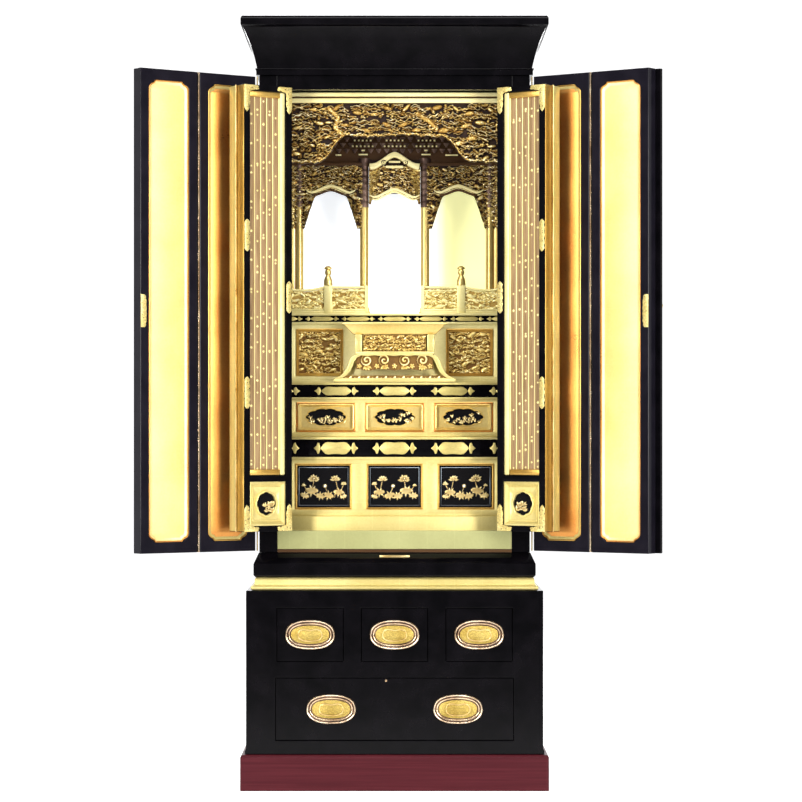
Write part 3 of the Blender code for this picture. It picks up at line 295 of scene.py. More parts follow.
BLACK = lacquer("black_lacquer", (0.0014, 0.0013, 0.0018), (0.0034, 0.0029, 0.0040), 0.055, 0.06)
DOOR_BLACK = lacquer("door_lacquer", (0.0058, 0.0050, 0.0085), (0.0095, 0.0082, 0.0130), 0.12, 0.10)
MAROON = lacquer("maroon_lacquer", (0.050, 0.0062, 0.0100), (0.070, 0.0098, 0.0145), 0.30, 0.12,
                 (2.0, 2.0, 90.0))
BROWN = lacquer("brown_lacquer", (0.055, 0.026, 0.012), (0.090, 0.048, 0.022), 0.25, 0.10, (2.0, 60.0, 9.0))
print("lacquers:", BLACK.name, MAROON.name, BROWN.name)

# %% [markdown]
# ## Gold
# Gold leaf is laid in squares on sticky lacquer. Where two squares overlap the gold is twice as
# thick and a little brighter. The squares come from the fractional part of the coordinates. The
# polished mouldings leave them out, because a seam shows there only as a dark line. Carved work
# carries painted light and shade: its hollows are painted dark brown as painted shade, and what
# stands proud is painted pale as painted highlights. Each carved mesh holds that as an attribute
# called relief, 0 in the hollows and 1 on the ridges, so the painted shade and highlights follow the knife.

# %% Gold leaf
LEAF_SQUARE = 55 * MM


def gold_leaf(name, deep, light, rough=0.30, metal=0.60, seams=0.045):
    """Gold in two near tones; seams says how bright the overlaps of its squares are."""
    gold = Finish(name)
    x, y, z = gold.axes()
    cloud = gold.mottle(9.0, 4.0)
    fine = gold.mottle(240.0, 3.0)
    tone = gold.blend((0.75 * cloud + 0.25 * fine).step(0.30, 0.68), deep, light)
    height = 0.6 * fine
    if seams:
        seam = 0.0
        for axis, shift in ((x, 0.31), (z, 0.12), (y, 0.57)):
            cell = (axis / LEAF_SQUARE + shift + 0.010 * fine).fraction()
            line = 1.0 - (cell - 0.5).size().step(0.010, 0.022)
            seam = line.math("MAXIMUM", seam, line)
        bright = tuple(min(1.0, 1.12 * c + 0.02) for c in light)
        tone = gold.blend(seam * seams * 4, tone, bright)
        height = height + 2.5 * seams * seam
    gold.set("Base Color", tone)
    gold.set("Metallic", metal)
    gold.set("Roughness", rough + 0.14 * cloud + 0.06 * fine)
    gold.bump(height, 0.12 * MM, 0.30)
    return gold.material


GOLD = gold_leaf("gold_leaf", (0.60, 0.485, 0.155), (0.77, 0.650, 0.265))
PALE_GOLD = gold_leaf("pale_gold", (0.70, 0.600, 0.225), (0.88, 0.790, 0.385), 0.34, 0.45)
# painted light: a paler, hardly metallic gold for the rails, arch bands, gable and bracket tips, which stand
# in the shade of the transom and the roof
PAINTED_LIGHT_GOLD = gold_leaf("painted_light_gold", (0.93, 0.79, 0.33), (1.0, 0.93, 0.52), 0.40, 0.15, 0.0)
CARTOUCHE_GOLD = gold_leaf("cartouche_gold", (0.50, 0.40, 0.11), (0.76, 0.64, 0.25), 0.26, 0.60, 0.0)
DEEP_GOLD = gold_leaf("deep_gold", (0.50, 0.27, 0.055), (0.74, 0.49, 0.13), 0.24, 0.85)
AMBER_GOLD = gold_leaf("amber_gold", (0.50, 0.19, 0.044), (0.70, 0.35, 0.085), 0.20, 0.88, 0.0)
HONEY_GOLD = gold_leaf("honey_gold", (0.64, 0.43, 0.11), (0.88, 0.70, 0.27), 0.22, 0.72, 0.0)
GREEN_GOLD = gold_leaf("green_gold", (0.31, 0.31, 0.125), (0.40, 0.40, 0.175), 0.36, 0.40)
BRIGHT_LEAF = gold_leaf("bright_leaf", (0.64, 0.540, 0.165), (0.76, 0.670, 0.270), 0.36, 0.18, 0.02)
print("gold leaf in squares of", round(LEAF_SQUARE / MM), "mm")

# %% Carved gold, brass and the pale backing
def carved_gold(name, tones, rough=0.30, hollow=0.25, glint=0.12):
    """A carving's finish: painted shade in the hollows, painted highlights on the ridges and a few painted
    glints.
    """
    gold = Finish(name, Specular_IOR_Level=0.25)
    # relief drives painted shade and highlight: the ramp paints the hollows dark and the ridges pale
    height = gold.add("ShaderNodeAttribute", {"attribute_name": "relief"}, out=2)
    speck = gold.mottle(310.0, 2.0)
    cloud = gold.mottle(24.0, 2.0)
    # painted glints: bright specks on the ridges, standing in for highlights
    tarnish_and_glint = gold.mottle(430.0, 1.0).step(0.56, 0.68) * height.step(0.45, 0.70)
    level = (height + 0.22 * (speck - 0.5) + 0.30 * (cloud - 0.5) + glint * 3 * tarnish_and_glint).held()
    stops = [(0.0, tones[0]), (0.30, tones[1]), (0.58, tones[2]), (0.82, tones[3]), (1.0, tones[4])]
    gold.set("Base Color", gold.ramp(level, stops))
    gold.set("Metallic", 0.15 + 0.60 * level)
    gold.set("Roughness", rough + hollow * (1.0 - level) + 0.08 * speck)
    gold.bump(speck, 0.15 * MM, 0.35)
    return gold.material


BROWN_CARVING = carved_gold("brown_carving", [
    (0.010, 0.003, 0.0015), (0.085, 0.034, 0.007), (0.360, 0.200, 0.038), (0.820, 0.640, 0.220),
    (1.000, 0.970, 0.780),
])
BRIGHT_CARVING = carved_gold("bright_carving", [
    (0.130, 0.060, 0.010), (0.360, 0.210, 0.042), (0.660, 0.470, 0.135), (0.860, 0.690, 0.260),
    (1.000, 0.920, 0.550),
])
PALE_CARVING = carved_gold("pale_carving", [
    (0.330, 0.200, 0.042), (0.660, 0.500, 0.155), (0.840, 0.715, 0.290), (0.930, 0.835, 0.410),
    (1.000, 0.950, 0.620),
])
NIGHT_CARVING = carved_gold("night_carving", [
    (0.004, 0.004, 0.005), (0.008, 0.006, 0.005), (0.560, 0.390, 0.140), (0.860, 0.720, 0.350),
    (1.000, 0.950, 0.720),
], 0.20, -0.10, 0.0)


def brass(name, deep, light, rough=0.22, chased=0.0, scale=330.0, metallic=1.0, pierced=0.0):
    """Brass with a soft tarnish: chased engraves small curls, pierced sets dark holes."""
    metal = Finish(name, Metallic=metallic)
    cloud = metal.mottle(30.0, 4.0)
    marks = metal.add(
        "ShaderNodeTexVoronoi", {"feature": "SMOOTH_F1"}, {"Vector": metal.place(), "Scale": scale}
    )
    cut = marks.step(0.18, 0.46)
    tarnish_and_glint = metal.blend(cloud.step(0.35, 0.65), deep, light)
    dark = tuple(0.34 * c for c in deep)
    tone = metal.blend(chased * cut, tarnish_and_glint, dark)
    if pierced:
        holes = metal.add("ShaderNodeTexVoronoi", {}, {"Vector": metal.place(), "Scale": pierced})
        tone = metal.blend(1.0 - holes.step(0.14, 0.22), tone, (0.05, 0.025, 0.008))
    metal.set("Base Color", tone)
    metal.set("Roughness", rough + 0.16 * cloud + 0.20 * chased * cut)
    metal.bump(1.0 - cut, 0.30 * MM, 0.20 + 0.60 * chased)
    return metal.material


BRASS = brass("brass", (0.62, 0.42, 0.14), (0.90, 0.72, 0.36))
RIM_BRASS = brass("rim_brass", (0.52, 0.36, 0.22), (0.93, 0.76, 0.55), 0.16)
CHASED_BRASS = brass("chased_brass", (0.78, 0.60, 0.19), (0.96, 0.82, 0.35), 0.24, 0.45, 300.0, 0.55, 150.0)
PUNCHED_BRASS = brass("punched_brass", (0.52, 0.36, 0.08), (0.78, 0.60, 0.18), 0.30, 0.60, 620.0)
DARK_BRONZE = brass("dark_bronze", (0.090, 0.050, 0.038), (0.250, 0.160, 0.120), 0.34, 0.35, 330.0, 0.7)


def slat_wood(name, deep, light):
    """Thin slats of toned wood with an upright grain."""
    wood = Finish(name, Metallic=0.25)
    grain = wood.mottle(1.0, 4.0, wood.stretched((700.0, 700.0, 14.0)))
    wood.set("Base Color", wood.blend(grain.step(0.32, 0.68), deep, light))
    wood.set("Roughness", 0.30 + 0.20 * grain)
    wood.bump(grain, 0.08 * MM, 0.30)
    return wood.material


SLAT = slat_wood("toned_slat", (0.19, 0.108, 0.044), (0.40, 0.262, 0.128))


def backing():
    """The pale board behind the bays, which glows as painted light: bluish white, and straw yellow towards
    the right bay.
    """
    board = Finish("pale_backing", Metallic=0.0)
    x, y, z = board.axes()
    straw = (x + 0.004 * board.mottle(18.0)).step(0.072, 0.110)
    colour = board.blend(straw, (0.90, 0.94, 1.00), (0.86, 0.86, 0.42))
    board.set("Base Color", colour)
    # painted light: the board glows with its own colour, standing in for glare on it
    board.set("Emission Color", colour)
    board.set("Emission Strength", 0.80)
    board.set("Roughness", 0.55 + 0.10 * board.mottle(60.0))
    return board.material


BACKING = backing()
STUDIO_FLOOR = Finish("studio_floor", Roughness=0.9)
near = STUDIO_FLOOR.axes()[1].step(-2.2, -0.7)  # it darkens towards the camera, where black boards mirror it
pale = STUDIO_FLOOR.blend(STUDIO_FLOOR.mottle(2.0), (0.90, 0.90, 0.90), (0.93, 0.93, 0.93))
STUDIO_FLOOR.set("Emission Color", STUDIO_FLOOR.blend(near, (0.06, 0.06, 0.06), (1.0, 1.0, 1.0)))
STUDIO_FLOOR.set("Emission Strength", 0.55)
STUDIO_FLOOR.set("Base Color", STUDIO_FLOOR.blend(near, (0.30, 0.30, 0.30), pale))
floor.data.materials.append(STUDIO_FLOOR.material)
print("finishes:", len(bpy.data.materials))

# %% [markdown]
# ## Rounded boards
# No lacquered edge is sharp: the coats pull back from it, and polishing rounds what is left. That
# narrow round is what draws the thin bright lines on a black cabinet. The solids have square edges,
# so each visible board is copied, its triangles are merged back into whole faces, and a bevel
# rounds every edge. The copy then stands for the solid, at the same place and size.

# %% Placing a piece, and rounding a solid
BODY_OF = {
    node: body
    for body, nodes in frame["record"]["behaviour"]["bodies"].items()
    for node in nodes
}


FLAT_ANGLE = 12.0  # boards keep flat faces: every turn sharper than this is an edge
ROUND_ANGLE = 30.0  # a solid's edges sharper than this are rounded


def together(shapes):
    """Several shapes as one."""
    whole = bmesh.new()
    for shape in shapes:
        scratch = bpy.data.meshes.new("scratch")
        shape.to_mesh(scratch)
        shape.free()
        whole.from_mesh(scratch)
        bpy.data.meshes.remove(scratch)
    return whole


def piece(name, shape, finish, body="cabinet", stands_for=(), sharp=30.0, matrix=None):
    """An object of one shape or a list of them, riding on a body and standing for solids."""
    if isinstance(shape, list):
        shape = together(shape)
    if matrix:
        shape.transform(matrix)
    mesh = bpy.data.meshes.new(name)
    shape.to_mesh(mesh)
    shape.free()
    mesh.materials.append(finish)
    mesh.shade_smooth()
    mesh.set_sharp_from_angle(angle=math.radians(sharp))
    made = bpy.data.objects.new(name, mesh)
    scene.collection.objects.link(made)
    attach(made, body)
    if stands_for:
        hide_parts(*stands_for)


def whole_faces(node):
    """A solid's shape with its loose triangles merged into whole faces."""
    shape = bmesh.new()
    shape.from_mesh(frame["nodes"][node].data)
    bmesh.ops.remove_doubles(shape, verts=shape.verts, dist=0.01 * MM)
    bmesh.ops.dissolve_limit(shape, angle_limit=math.radians(0.5), verts=shape.verts, edges=shape.edges)
    return shape


def round_edges(shape, width, segments=2):
    limit = math.radians(ROUND_ANGLE)
    sharp = [e for e in shape.edges if e.is_manifold and e.calc_face_angle() > limit]
    bmesh.ops.bevel(
        shape, geom=sharp, offset=width, segments=segments, profile=0.5, affect="EDGES", clamp_overlap=True
    )
    return shape


def rounded(node, finish, width, segments=2):
    """The solid's own shape with its edges rounded, standing for the solid."""
    shape = round_edges(whole_faces(node), width, segments)
    piece(f"{node}_board", shape, finish, BODY_OF[node], (node,), FLAT_ANGLE)


def refinish(node, finish):
    """Gives a solid a finer finish and leaves its shape alone."""
    materials = frame["nodes"][node].data.materials
    materials.clear()
    materials.append(finish)


# %% The lacquered boards
for node, width in (("base_cabinet", 1.2), ("side_left", 1.0), ("side_right", 1.0), ("sill", 0.9)):
    rounded(node, BLACK, width * MM)
for name in ("left", "middle", "right", "wide"):
    rounded(f"drawer_{name}", BLACK, 0.9 * MM)
for side, name in SIDES:
    for leaf in ("near", "far"):
        rounded(f"door_{name}_{leaf}", DOOR_BLACK, 1.3 * MM, segments=3)
        rounded(f"inner_frame_{name}_{leaf}", BLACK, 0.7 * MM)
rounded("astragal", BLACK, 0.5 * MM)
rounded("plinth", MAROON, 1.2 * MM)
for node in ("back_board", "ceiling_board"):
    refinish(node, BLACK)
refinish("floor_board", BROWN)

# %% [markdown]
# ## Cornice
# The cornice is a stack of mouldings run round the front and both sides: a neck, a thin bead, a
# hollow called a cove, and a crown board with a rounded top edge. It is drawn as rings, each a
# rectangle that stands out a little more than the one below, and skinned from ring to ring.

# %% Cornice
CROWN_BOARD = 19.5 * MM
CROWN_ROUND = 8 * MM
NECK = 10.5 * MM
NECK_OUT = 6 * MM
BEAD = 1.6 * MM
BEAD_STEPS = 6
CROWN_STEPS = 8
COVE_STEPS = 22


def skinned(shape, loops):
    """The shape with faces from each loop of its corners to the next."""
    for low, high in zip(loops, loops[1:]):
        for i in range(len(low)):
            j = (i + 1) % len(low)
            shape.faces.new((low[i], low[j], high[j], high[i]))
    bmesh.ops.recalc_face_normals(shape, faces=shape.faces)
    return shape


def ringed(rings):
    """A closed solid through rectangles: half width, front y, back y and z of each."""
    shape = bmesh.new()
    loops = []
    for half, front, back, z in rings:
        corners = ((-half, front), (half, front), (half, back), (-half, back))
        loops.append([shape.verts.new((x, y, z)) for x, y in corners])
    shape.faces.new(loops[0][::-1])
    shape.faces.new(loops[-1])
    return skinned(shape, loops)


def cornice():
    low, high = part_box("cornice")
    base_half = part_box("side_right")[1].x
    reach = high.x - base_half

    def ring(out, z):
        return (base_half + out, FACE_Y - out, high.y, z)

    rings = [ring(NECK_OUT, low.z), ring(NECK_OUT, low.z + NECK)]
    for i in range(BEAD_STEPS + 1):
        angle = math.pi * (i / BEAD_STEPS - 0.5)
        out = NECK_OUT + BEAD * math.cos(angle) * 1.2
        rings.append(ring(out, low.z + NECK + BEAD * (1 + math.sin(angle))))
    cove_foot = low.z + NECK + 2 * BEAD
    cove_head = high.z - CROWN_BOARD - BEAD
    for i in range(COVE_STEPS + 1):
        share = i / COVE_STEPS
        out = NECK_OUT - BEAD + (reach - NECK_OUT - BEAD) * (0.62 * share + 0.38 * share**2.6)
        rings.append(ring(out, cove_foot + (cove_head - cove_foot) * share))
    rings.append(ring(reach - 0.4 * BEAD, cove_head + BEAD))
    rings.append(ring(reach, cove_head + 1.6 * BEAD))
    for i in range(CROWN_STEPS + 1):
        angle = math.pi / 2 * i / CROWN_STEPS
        out = reach - CROWN_ROUND * (1 - math.cos(angle))
        rings.append(ring(out, high.z - CROWN_ROUND * (1 - math.sin(angle))))
    return ringed(rings)


piece("cornice_moulding", cornice(), BLACK, stands_for=("cornice",), sharp=50.0)

# %% [markdown]
# ## The carver's kit
# A carved board starts flat, and every leaf, scroll and cloud is left standing as the ground round
# it is cut away. In numbers that is a sheet of heights. Each form works out its own height near its
# place, and the higher of the old and the new height is kept, so forms overlap as carved ones do.
# The sheet becomes a mesh with a flat back. Its relief attribute mixes the height with how far a
# point stands above its surroundings: the finish turns it into painted shade and painted highlights.

# %% Relief
class Relief:
    """A carved face: heights over a sheet of x, z places between two edges."""

    def __init__(self, low, high, foot, head, step):
        self.x, self.z = sheet_places(low, high, foot, head, step)
        self.height = np.zeros(self.x.shape)

    def near(self, x, z, turn, reach):
        """Where the sheet lies within reach of a place, and its places along and across an axis."""
        spot = np.nonzero((np.abs(self.x - x) < reach) & (np.abs(self.z - z) < reach))
        right, up = self.x[spot] - x, self.z[spot] - z
        along = right * math.cos(turn) + up * math.sin(turn)
        across = up * math.cos(turn) - right * math.sin(turn)
        return spot, along, across

    def leave(self, spot, height):
        self.height[spot] = np.maximum(self.height[spot], height)

    def leaf(self, x, z, length, width, turn, height, curl=0.25):
        """A leaf with a rib, its tip bent to one side and standing proud."""
        spot, along, across = self.near(x, z, turn, length * 1.2)
        share = np.clip(along / length, 0.0, 1.0)
        across = across - curl * length * share**2
        half = width * np.sin(math.pi * share**0.8) + 1e-9
        rim = np.clip(1.0 - (across / half) ** 2, 0.0, 1.0)
        inside = (along > 0) & (along < length) & (rim > 0)
        rib = 1.0 - 0.40 * np.exp(-((across / (0.16 * half)) ** 2))
        self.leave(spot, np.where(inside, height * np.sqrt(rim) * rib * (0.55 + 0.45 * share), 0.0))

    def dome(self, x, z, wide, tall, turn, height):
        spot, along, across = self.near(x, z, turn, max(wide, tall))
        rim = np.clip(1.0 - (along / wide) ** 2 - (across / tall) ** 2, 0.0, 1.0)
        self.leave(spot, height * np.sqrt(rim))

    def flower(self, x, z, reach, petals, height, turn=0.0):
        """Open petals round a raised eye."""
        spot, along, across = self.near(x, z, turn, reach)
        away = np.hypot(along, across) / reach
        angle = np.arctan2(across, along)
        edge = 0.62 + 0.38 * np.abs(np.cos(petals * angle / 2))
        petal = np.clip(1.0 - (away / edge) ** 4, 0.0, 1.0)
        groove = 0.55 + 0.45 * np.abs(np.cos(petals * angle / 2)) ** 0.6
        eye = 1.15 * np.sqrt(np.clip(1.0 - (away / 0.24) ** 2, 0.0, 1.0))
        cup = groove * petal * (0.45 + 0.55 * away)
        self.leave(spot, height * np.maximum(cup, eye))

    def scroll(self, x, z, reach, turn, height, hand=1, coils=1.6, thick=0.16):
        """A ridge that winds into an eye."""
        spot, along, across = self.near(x, z, turn, reach)
        away = np.hypot(along, across) / reach
        angle = (hand * np.arctan2(across, along) / (2 * math.pi)) % 1.0
        pitch = 1.0 / coils
        offset = (away / pitch - angle + 0.5) % 1.0 - 0.5
        ridge = np.clip(1.0 - (offset * pitch / thick) ** 2, 0.0, 1.0)
        self.leave(spot, height * np.sqrt(ridge) * (away < 1.0) * (0.70 + 0.30 * away))

    def branch(self, points, radius, height):
        """A knotty stem through points."""
        for (x0, z0), (x1, z1) in zip(points, points[1:]):
            length = math.hypot(x1 - x0, z1 - z0)
            turn = math.atan2(z1 - z0, x1 - x0)
            spot, along, across = self.near(x0, z0, turn, length + radius)
            away = np.hypot(along - np.clip(along, 0.0, length), across) / radius
            self.leave(spot, height * np.sqrt(np.clip(1.0 - away**2, 0.0, 1.0)))

    def pine(self, x, z, reach, turn, height):
        """A fan of needles on a pad."""
        spot, along, across = self.near(x, z, turn, reach)
        away = np.hypot(along, across) / reach
        angle = np.arctan2(along, across)
        needles = 0.62 + 0.38 * np.cos(15 * angle)
        pad = np.clip(1.0 - away**2, 0.0, 1.0) * (along > -0.35 * reach)
        self.leave(spot, height * np.sqrt(pad) * (needles * np.minimum(1.0, 2.2 * away) + 0.2))


def soften_sheet(sheet, reach):
    """Each height averaged with its neighbours, along rows and then columns."""
    for axis in (0, 1):
        total = np.zeros(sheet.shape)
        padded = np.pad(sheet, [(reach, reach) if a == axis else (0, 0) for a in (0, 1)], "edge")
        for step in range(2 * reach + 1):
            total += np.take(padded, range(step, step + sheet.shape[axis]), axis)
        sheet = total / (2 * reach + 1)
    return sheet


def sheet_places(low, high, foot, head, step):
    """A sheet of places between two x values, from a lower edge to an upper one."""
    across = max(4, round((high - low) / step))
    x = np.linspace(low, high, across + 1)
    feet = np.array([foot(value) for value in x])
    heads = np.array([head(value) for value in x])
    up = max(4, round(float((heads - feet).max()) / step))
    share = np.linspace(0.0, 1.0, up + 1)[:, None]
    return np.repeat(x[None, :], up + 1, 0), feet + (heads - feet) * share


def carving_shape(relief, face, back, tallest, ground=0.0):
    """A closed solid with the relief on its front, and its relief attribute."""
    rows, columns = relief.x.shape
    shape = bmesh.new()
    tone = shape.verts.layers.float.new("relief")
    # the level is painted shade and highlight: low where a point lies below its neighbours, high where it
    # stands proud
    smooth = soften_sheet(relief.height, 4)
    proud = np.clip(0.5 + (relief.height - smooth) / (0.45 * tallest), 0.0, 1.0)
    level = np.clip(0.50 * relief.height / tallest + 0.62 * proud - 0.16 + ground, 0.0, 1.0)
    level = level * np.clip(0.30 + relief.height / (0.20 * tallest), 0.0, 1.0)
    grid = []
    for i in range(rows):
        line = []
        for j in range(columns):
            vert = shape.verts.new((relief.x[i, j], face - relief.height[i, j], relief.z[i, j]))
            vert[tone] = level[i, j]
            line.append(vert)
        grid.append(line)
    for low, high in zip(grid, grid[1:]):
        for j in range(columns - 1):
            shape.faces.new((low[j], low[j + 1], high[j + 1], high[j]))
    rim = grid[0][:-1] + [line[-1] for line in grid[:-1]]
    rim += grid[-1][:0:-1] + [line[0] for line in grid[:0:-1]]
    behind = []
    for vert in rim:
        low = shape.verts.new((vert.co.x, back, vert.co.z))
        low[tone] = 0.0
        behind.append(low)
    for i, vert in enumerate(rim):
        j = (i + 1) % len(rim)
        shape.faces.new((vert, behind[i], behind[j], rim[j]))
    shape.faces.new(behind[::-1])
    return shape


draw = np.random.default_rng(41)
print("the carver's kit has", sum(not name.startswith("_") for name in vars(Relief)), "tools")

# %% [markdown]
# ## Plates, rods and turned pieces
# Most small parts are one of three things. A plate is a flat outline with a thickness, which a 2D
# curve gives with its edges rounded at once. A rod follows points with a round section. A turned
# piece is a profile spun round an axis, as on a lathe. One helper makes each.

# %% Plates, rods and turned pieces
def from_curve(curve):
    """A curve's closed mesh as a shape, its caps welded on."""
    holder = bpy.data.objects.new("curve", curve)
    scene.collection.objects.link(holder)
    graph = bpy.context.evaluated_depsgraph_get()
    mesh = bpy.data.meshes.new_from_object(holder.evaluated_get(graph))
    bpy.data.objects.remove(holder)
    shape = bmesh.new()
    shape.from_mesh(mesh)
    bpy.data.meshes.remove(mesh)
    bmesh.ops.remove_doubles(shape, verts=shape.verts, dist=0.001 * MM)
    bmesh.ops.recalc_face_normals(shape, faces=shape.faces)
    return shape


def add_spline(curve, points, closed):
    spline = curve.splines.new("POLY")
    spline.points.add(len(points) - 1)
    for point, place in zip(spline.points, points):
        point.co = (*place, 1.0)
    spline.use_cyclic_u = closed


def plate(outlines, front, thickness, rounding):
    """Closed outlines of x, z points as one plate; an outline inside another is a hole."""
    curve = bpy.data.curves.new("plate", "CURVE")
    curve.dimensions = "2D"
    curve.fill_mode = "BOTH"
    curve.extrude = thickness / 2 - rounding
    curve.bevel_depth = rounding
    curve.bevel_resolution = 1
    curve.offset = -rounding
    for outline in outlines:
        add_spline(curve, [(x, z, 0.0) for x, z in outline], True)
    shape = from_curve(curve)
    turn = Matrix.Rotation(math.pi / 2, 4, "X")
    shape.transform(Matrix.Translation((0.0, front + thickness / 2, 0.0)) @ turn)
    return shape


def rod(points, radius, resolution=2, closed=False):
    curve = bpy.data.curves.new("rod", "CURVE")
    curve.dimensions = "3D"
    curve.bevel_depth = radius
    curve.bevel_resolution = resolution
    curve.use_fill_caps = True
    add_spline(curve, points, closed)
    return from_curve(curve)


def turned(profile, steps, place):
    """A profile of radius, height pairs from bottom to top, turned about Z; both ends at radius 0."""
    shape = bmesh.new()
    rings = []
    for radius, height in profile:
        count = 1 if radius == 0 else steps
        ring = []
        for i in range(count):
            angle = 2 * math.pi * i / steps
            ring.append(shape.verts.new((radius * math.cos(angle), radius * math.sin(angle), height)))
        rings.append(ring)
    for low, high in zip(rings, rings[1:]):
        for i in range(steps):
            j = (i + 1) % steps
            corners = [low[i % len(low)], low[j % len(low)], high[j % len(high)], high[i % len(high)]]
            shape.faces.new(list(dict.fromkeys(corners)))
    bmesh.ops.recalc_face_normals(shape, faces=shape.faces)
    shape.transform(place)
    return shape


def block(xs, ys, zs, rounding):
    """A board between two x, two y and two z values, its edges rounded."""
    shape = bmesh.new()
    size = [abs(b - a) for a, b in (xs, ys, zs)]
    middle = [(a + b) / 2 for a, b in (xs, ys, zs)]
    seat = Matrix.Translation(middle) @ Matrix.Diagonal((*size, 1.0))
    bmesh.ops.create_cube(shape, size=1.0, matrix=seat)
    bmesh.ops.bevel(shape, geom=shape.edges[:], offset=rounding, segments=2, profile=0.5, affect="EDGES")
    return shape


def stud(reach, tall, corners=6, notch=1.0):
    """A tiny pyramid that points forwards; a notch below 1 turns its corners into petals."""
    shape = bmesh.new()
    ring = []
    for i in range(corners):
        away = reach * (notch if i % 2 else 1.0)
        angle = 2 * math.pi * i / corners
        ring.append(shape.verts.new((away * math.cos(angle), 0.0, away * math.sin(angle))))
    tip = shape.verts.new((0.0, -tall, 0.0))
    for i, vert in enumerate(ring):
        shape.faces.new((vert, ring[(i + 1) % corners], tip))
    shape.faces.new(ring[::-1])
    bmesh.ops.recalc_face_normals(shape, faces=shape.faces)
    return shape


def facing(x, y, z):
    """A place for a turned piece whose axis points forwards."""
    return Matrix.Translation((x, y, z)) @ Matrix.Rotation(math.pi / 2, 4, "X")


def span(side, near, far):
    """Two x values on one side, in rising order."""
    return sorted((side * near, side * far))


def mirrored(half):
    """A right-hand half outline, bottom to top, with its mirror image."""
    return half + [(-x, z) for x, z in reversed(half)]


def doubled(lower):
    """A lower half outline, which ends on the axis, with its mirror image above."""
    return lower + [(x, -z) for x, z in reversed(lower[:-1])]


print("helpers:", plate.__name__, rod.__name__, turned.__name__, block.__name__)

# %% [markdown] ## Transom The carved board that hangs under the head of the shrine is the
# showpiece: pines, clouds and blossom cut deep in one plank, with a lower edge that rises in the
# middle like a drawn curtain. Two old trunks are laid first, then rocks and banks of cloud, then
# pads of needles, blossom and leaves between them. A border of small leaves follows the scalloped
# contour, and two gilded rails with a brown hollow between them close it above.

# %% Transom
TRANSOM_INNER, TRANSOM_OUTER = 97 * MM, 152 * MM
TRANSOM_RISE = 53 * MM
TRUNKS = (
    [(-0.132, 1.364), (-0.114, 1.346), (-0.119, 1.325), (-0.101, 1.306)],
    [(0.046, 1.352), (0.070, 1.338), (0.084, 1.322)],
)
CARVING_STEP = 1 * MM
TRANSOM_DEPTH = 9.5 * MM
BORDER_LEAVES = 110

transom_low, transom_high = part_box("transom")
RAIL_FOOT = transom_high.z - 14 * MM  # the rails close the gap under the ceiling board


def transom_edge(x):
    """The transom's lower contour: low at the sides, raised in the middle, in small scallops."""
    share = min(1.0, max(0.0, (abs(x) - TRANSOM_INNER) / (TRANSOM_OUTER - TRANSOM_INNER)))
    smooth = share * share * (3 - 2 * share)
    swell = 1.8 * MM * math.sin(47 * x + 0.6)
    scallop = 2.6 * MM * abs(math.sin(118 * x)) + 1 * MM * abs(math.sin(290 * x))
    return transom_low.z + 2 * MM + TRANSOM_RISE * (1 - smooth) + swell + scallop


def scattered(low, high, foot, head, gap):
    """Places over a field in staggered rows, each a little off its mark."""
    rows = max(1, round((head - foot) / gap))
    count = max(1, round((high - low) / gap))
    for i in range(rows):
        for j in range(count):
            x = low + (j + 0.25 + 0.5 * (i % 2)) * (high - low) / count
            z = foot + (i + 0.5) * (head - foot) / rows
            yield x + draw.uniform(-0.3, 0.3) * gap, z + draw.uniform(-0.3, 0.3) * gap


def wandering(x, z, heading, steps, stride, sway, drift=0.0):
    """Points along a path that sways as it goes."""
    points = [(x, z)]
    phase = draw.uniform(0, 6.28)
    for i in range(steps):
        angle = heading + sway * math.sin(phase + 1.1 * i) + draw.uniform(-0.25, 0.25)
        x, z = x + stride * math.cos(angle), z + stride * math.sin(angle) + drift
        points.append((x, z))
    return points


def bank(relief, x, z, reach, height):
    """A bank of cloud: a smooth slope under wavy ridges that end in knobs."""
    lean = draw.uniform(-0.22, 0.22)
    relief.dome(x, z, reach, 0.30 * reach, lean, 0.50 * height)
    for i in range(3):
        tall = draw.uniform(0.60, 1.0) * height
        start = x - draw.uniform(0.6, 1.0) * reach
        path = wandering(start, z + (i - 1) * 0.30 * reach, lean, 5, 0.32 * reach, 0.60)
        relief.branch(path, 0.095 * reach, tall)
        relief.dome(*path[-1], 0.17 * reach, 0.13 * reach, 0.0, tall)


def landscape(relief, low, high, foot, head, height, size):
    """Rocks, banks of cloud, pines, blossom and leaves over a field; size is a bank's breadth."""
    rocks = list(scattered(low, high, foot, head, 1.9 * size))
    for x, z in rocks:
        wide = draw.uniform(0.45, 0.80) * size
        relief.dome(x, z, wide, draw.uniform(0.35, 0.55) * wide, draw.uniform(-0.8, 0.8), 0.78 * height)

    def clear(x, z):
        return min(math.hypot(x - a, z - b) for a, b in rocks) > 0.45 * size

    for x, z in scattered(low, high, foot, head, 0.85 * size):
        if clear(x, z):
            bank(relief, x, z, 0.66 * size, height)
    for x, z in scattered(low, high, foot, head, 0.62 * size):
        kind = draw.random()
        turn = draw.uniform(-0.9, 0.9)
        reach = size * draw.uniform(0.26, 0.42)
        tall = height * draw.uniform(0.6, 1.0)
        if not clear(x, z) or kind > 0.72:
            continue
        if kind < 0.20:
            relief.pine(x, z, reach, turn, tall)
        elif kind < 0.44:
            for _ in range(6):
                spread, lift = draw.uniform(-1.0, 1.0) * reach, draw.uniform(-0.4, 0.4) * reach
                proud = tall * draw.uniform(0.8, 1.1)
                relief.dome(x + spread, z + lift, 0.13 * size, 0.09 * size, turn, proud)
        elif kind < 0.56:
            relief.flower(x, z, 0.8 * reach, 5, tall, turn)
        else:
            for spread in (-0.9, -0.3, 0.3, 0.9):
                relief.leaf(x, z, 1.1 * reach, 0.24 * reach, turn + spread, tall, 0.3)


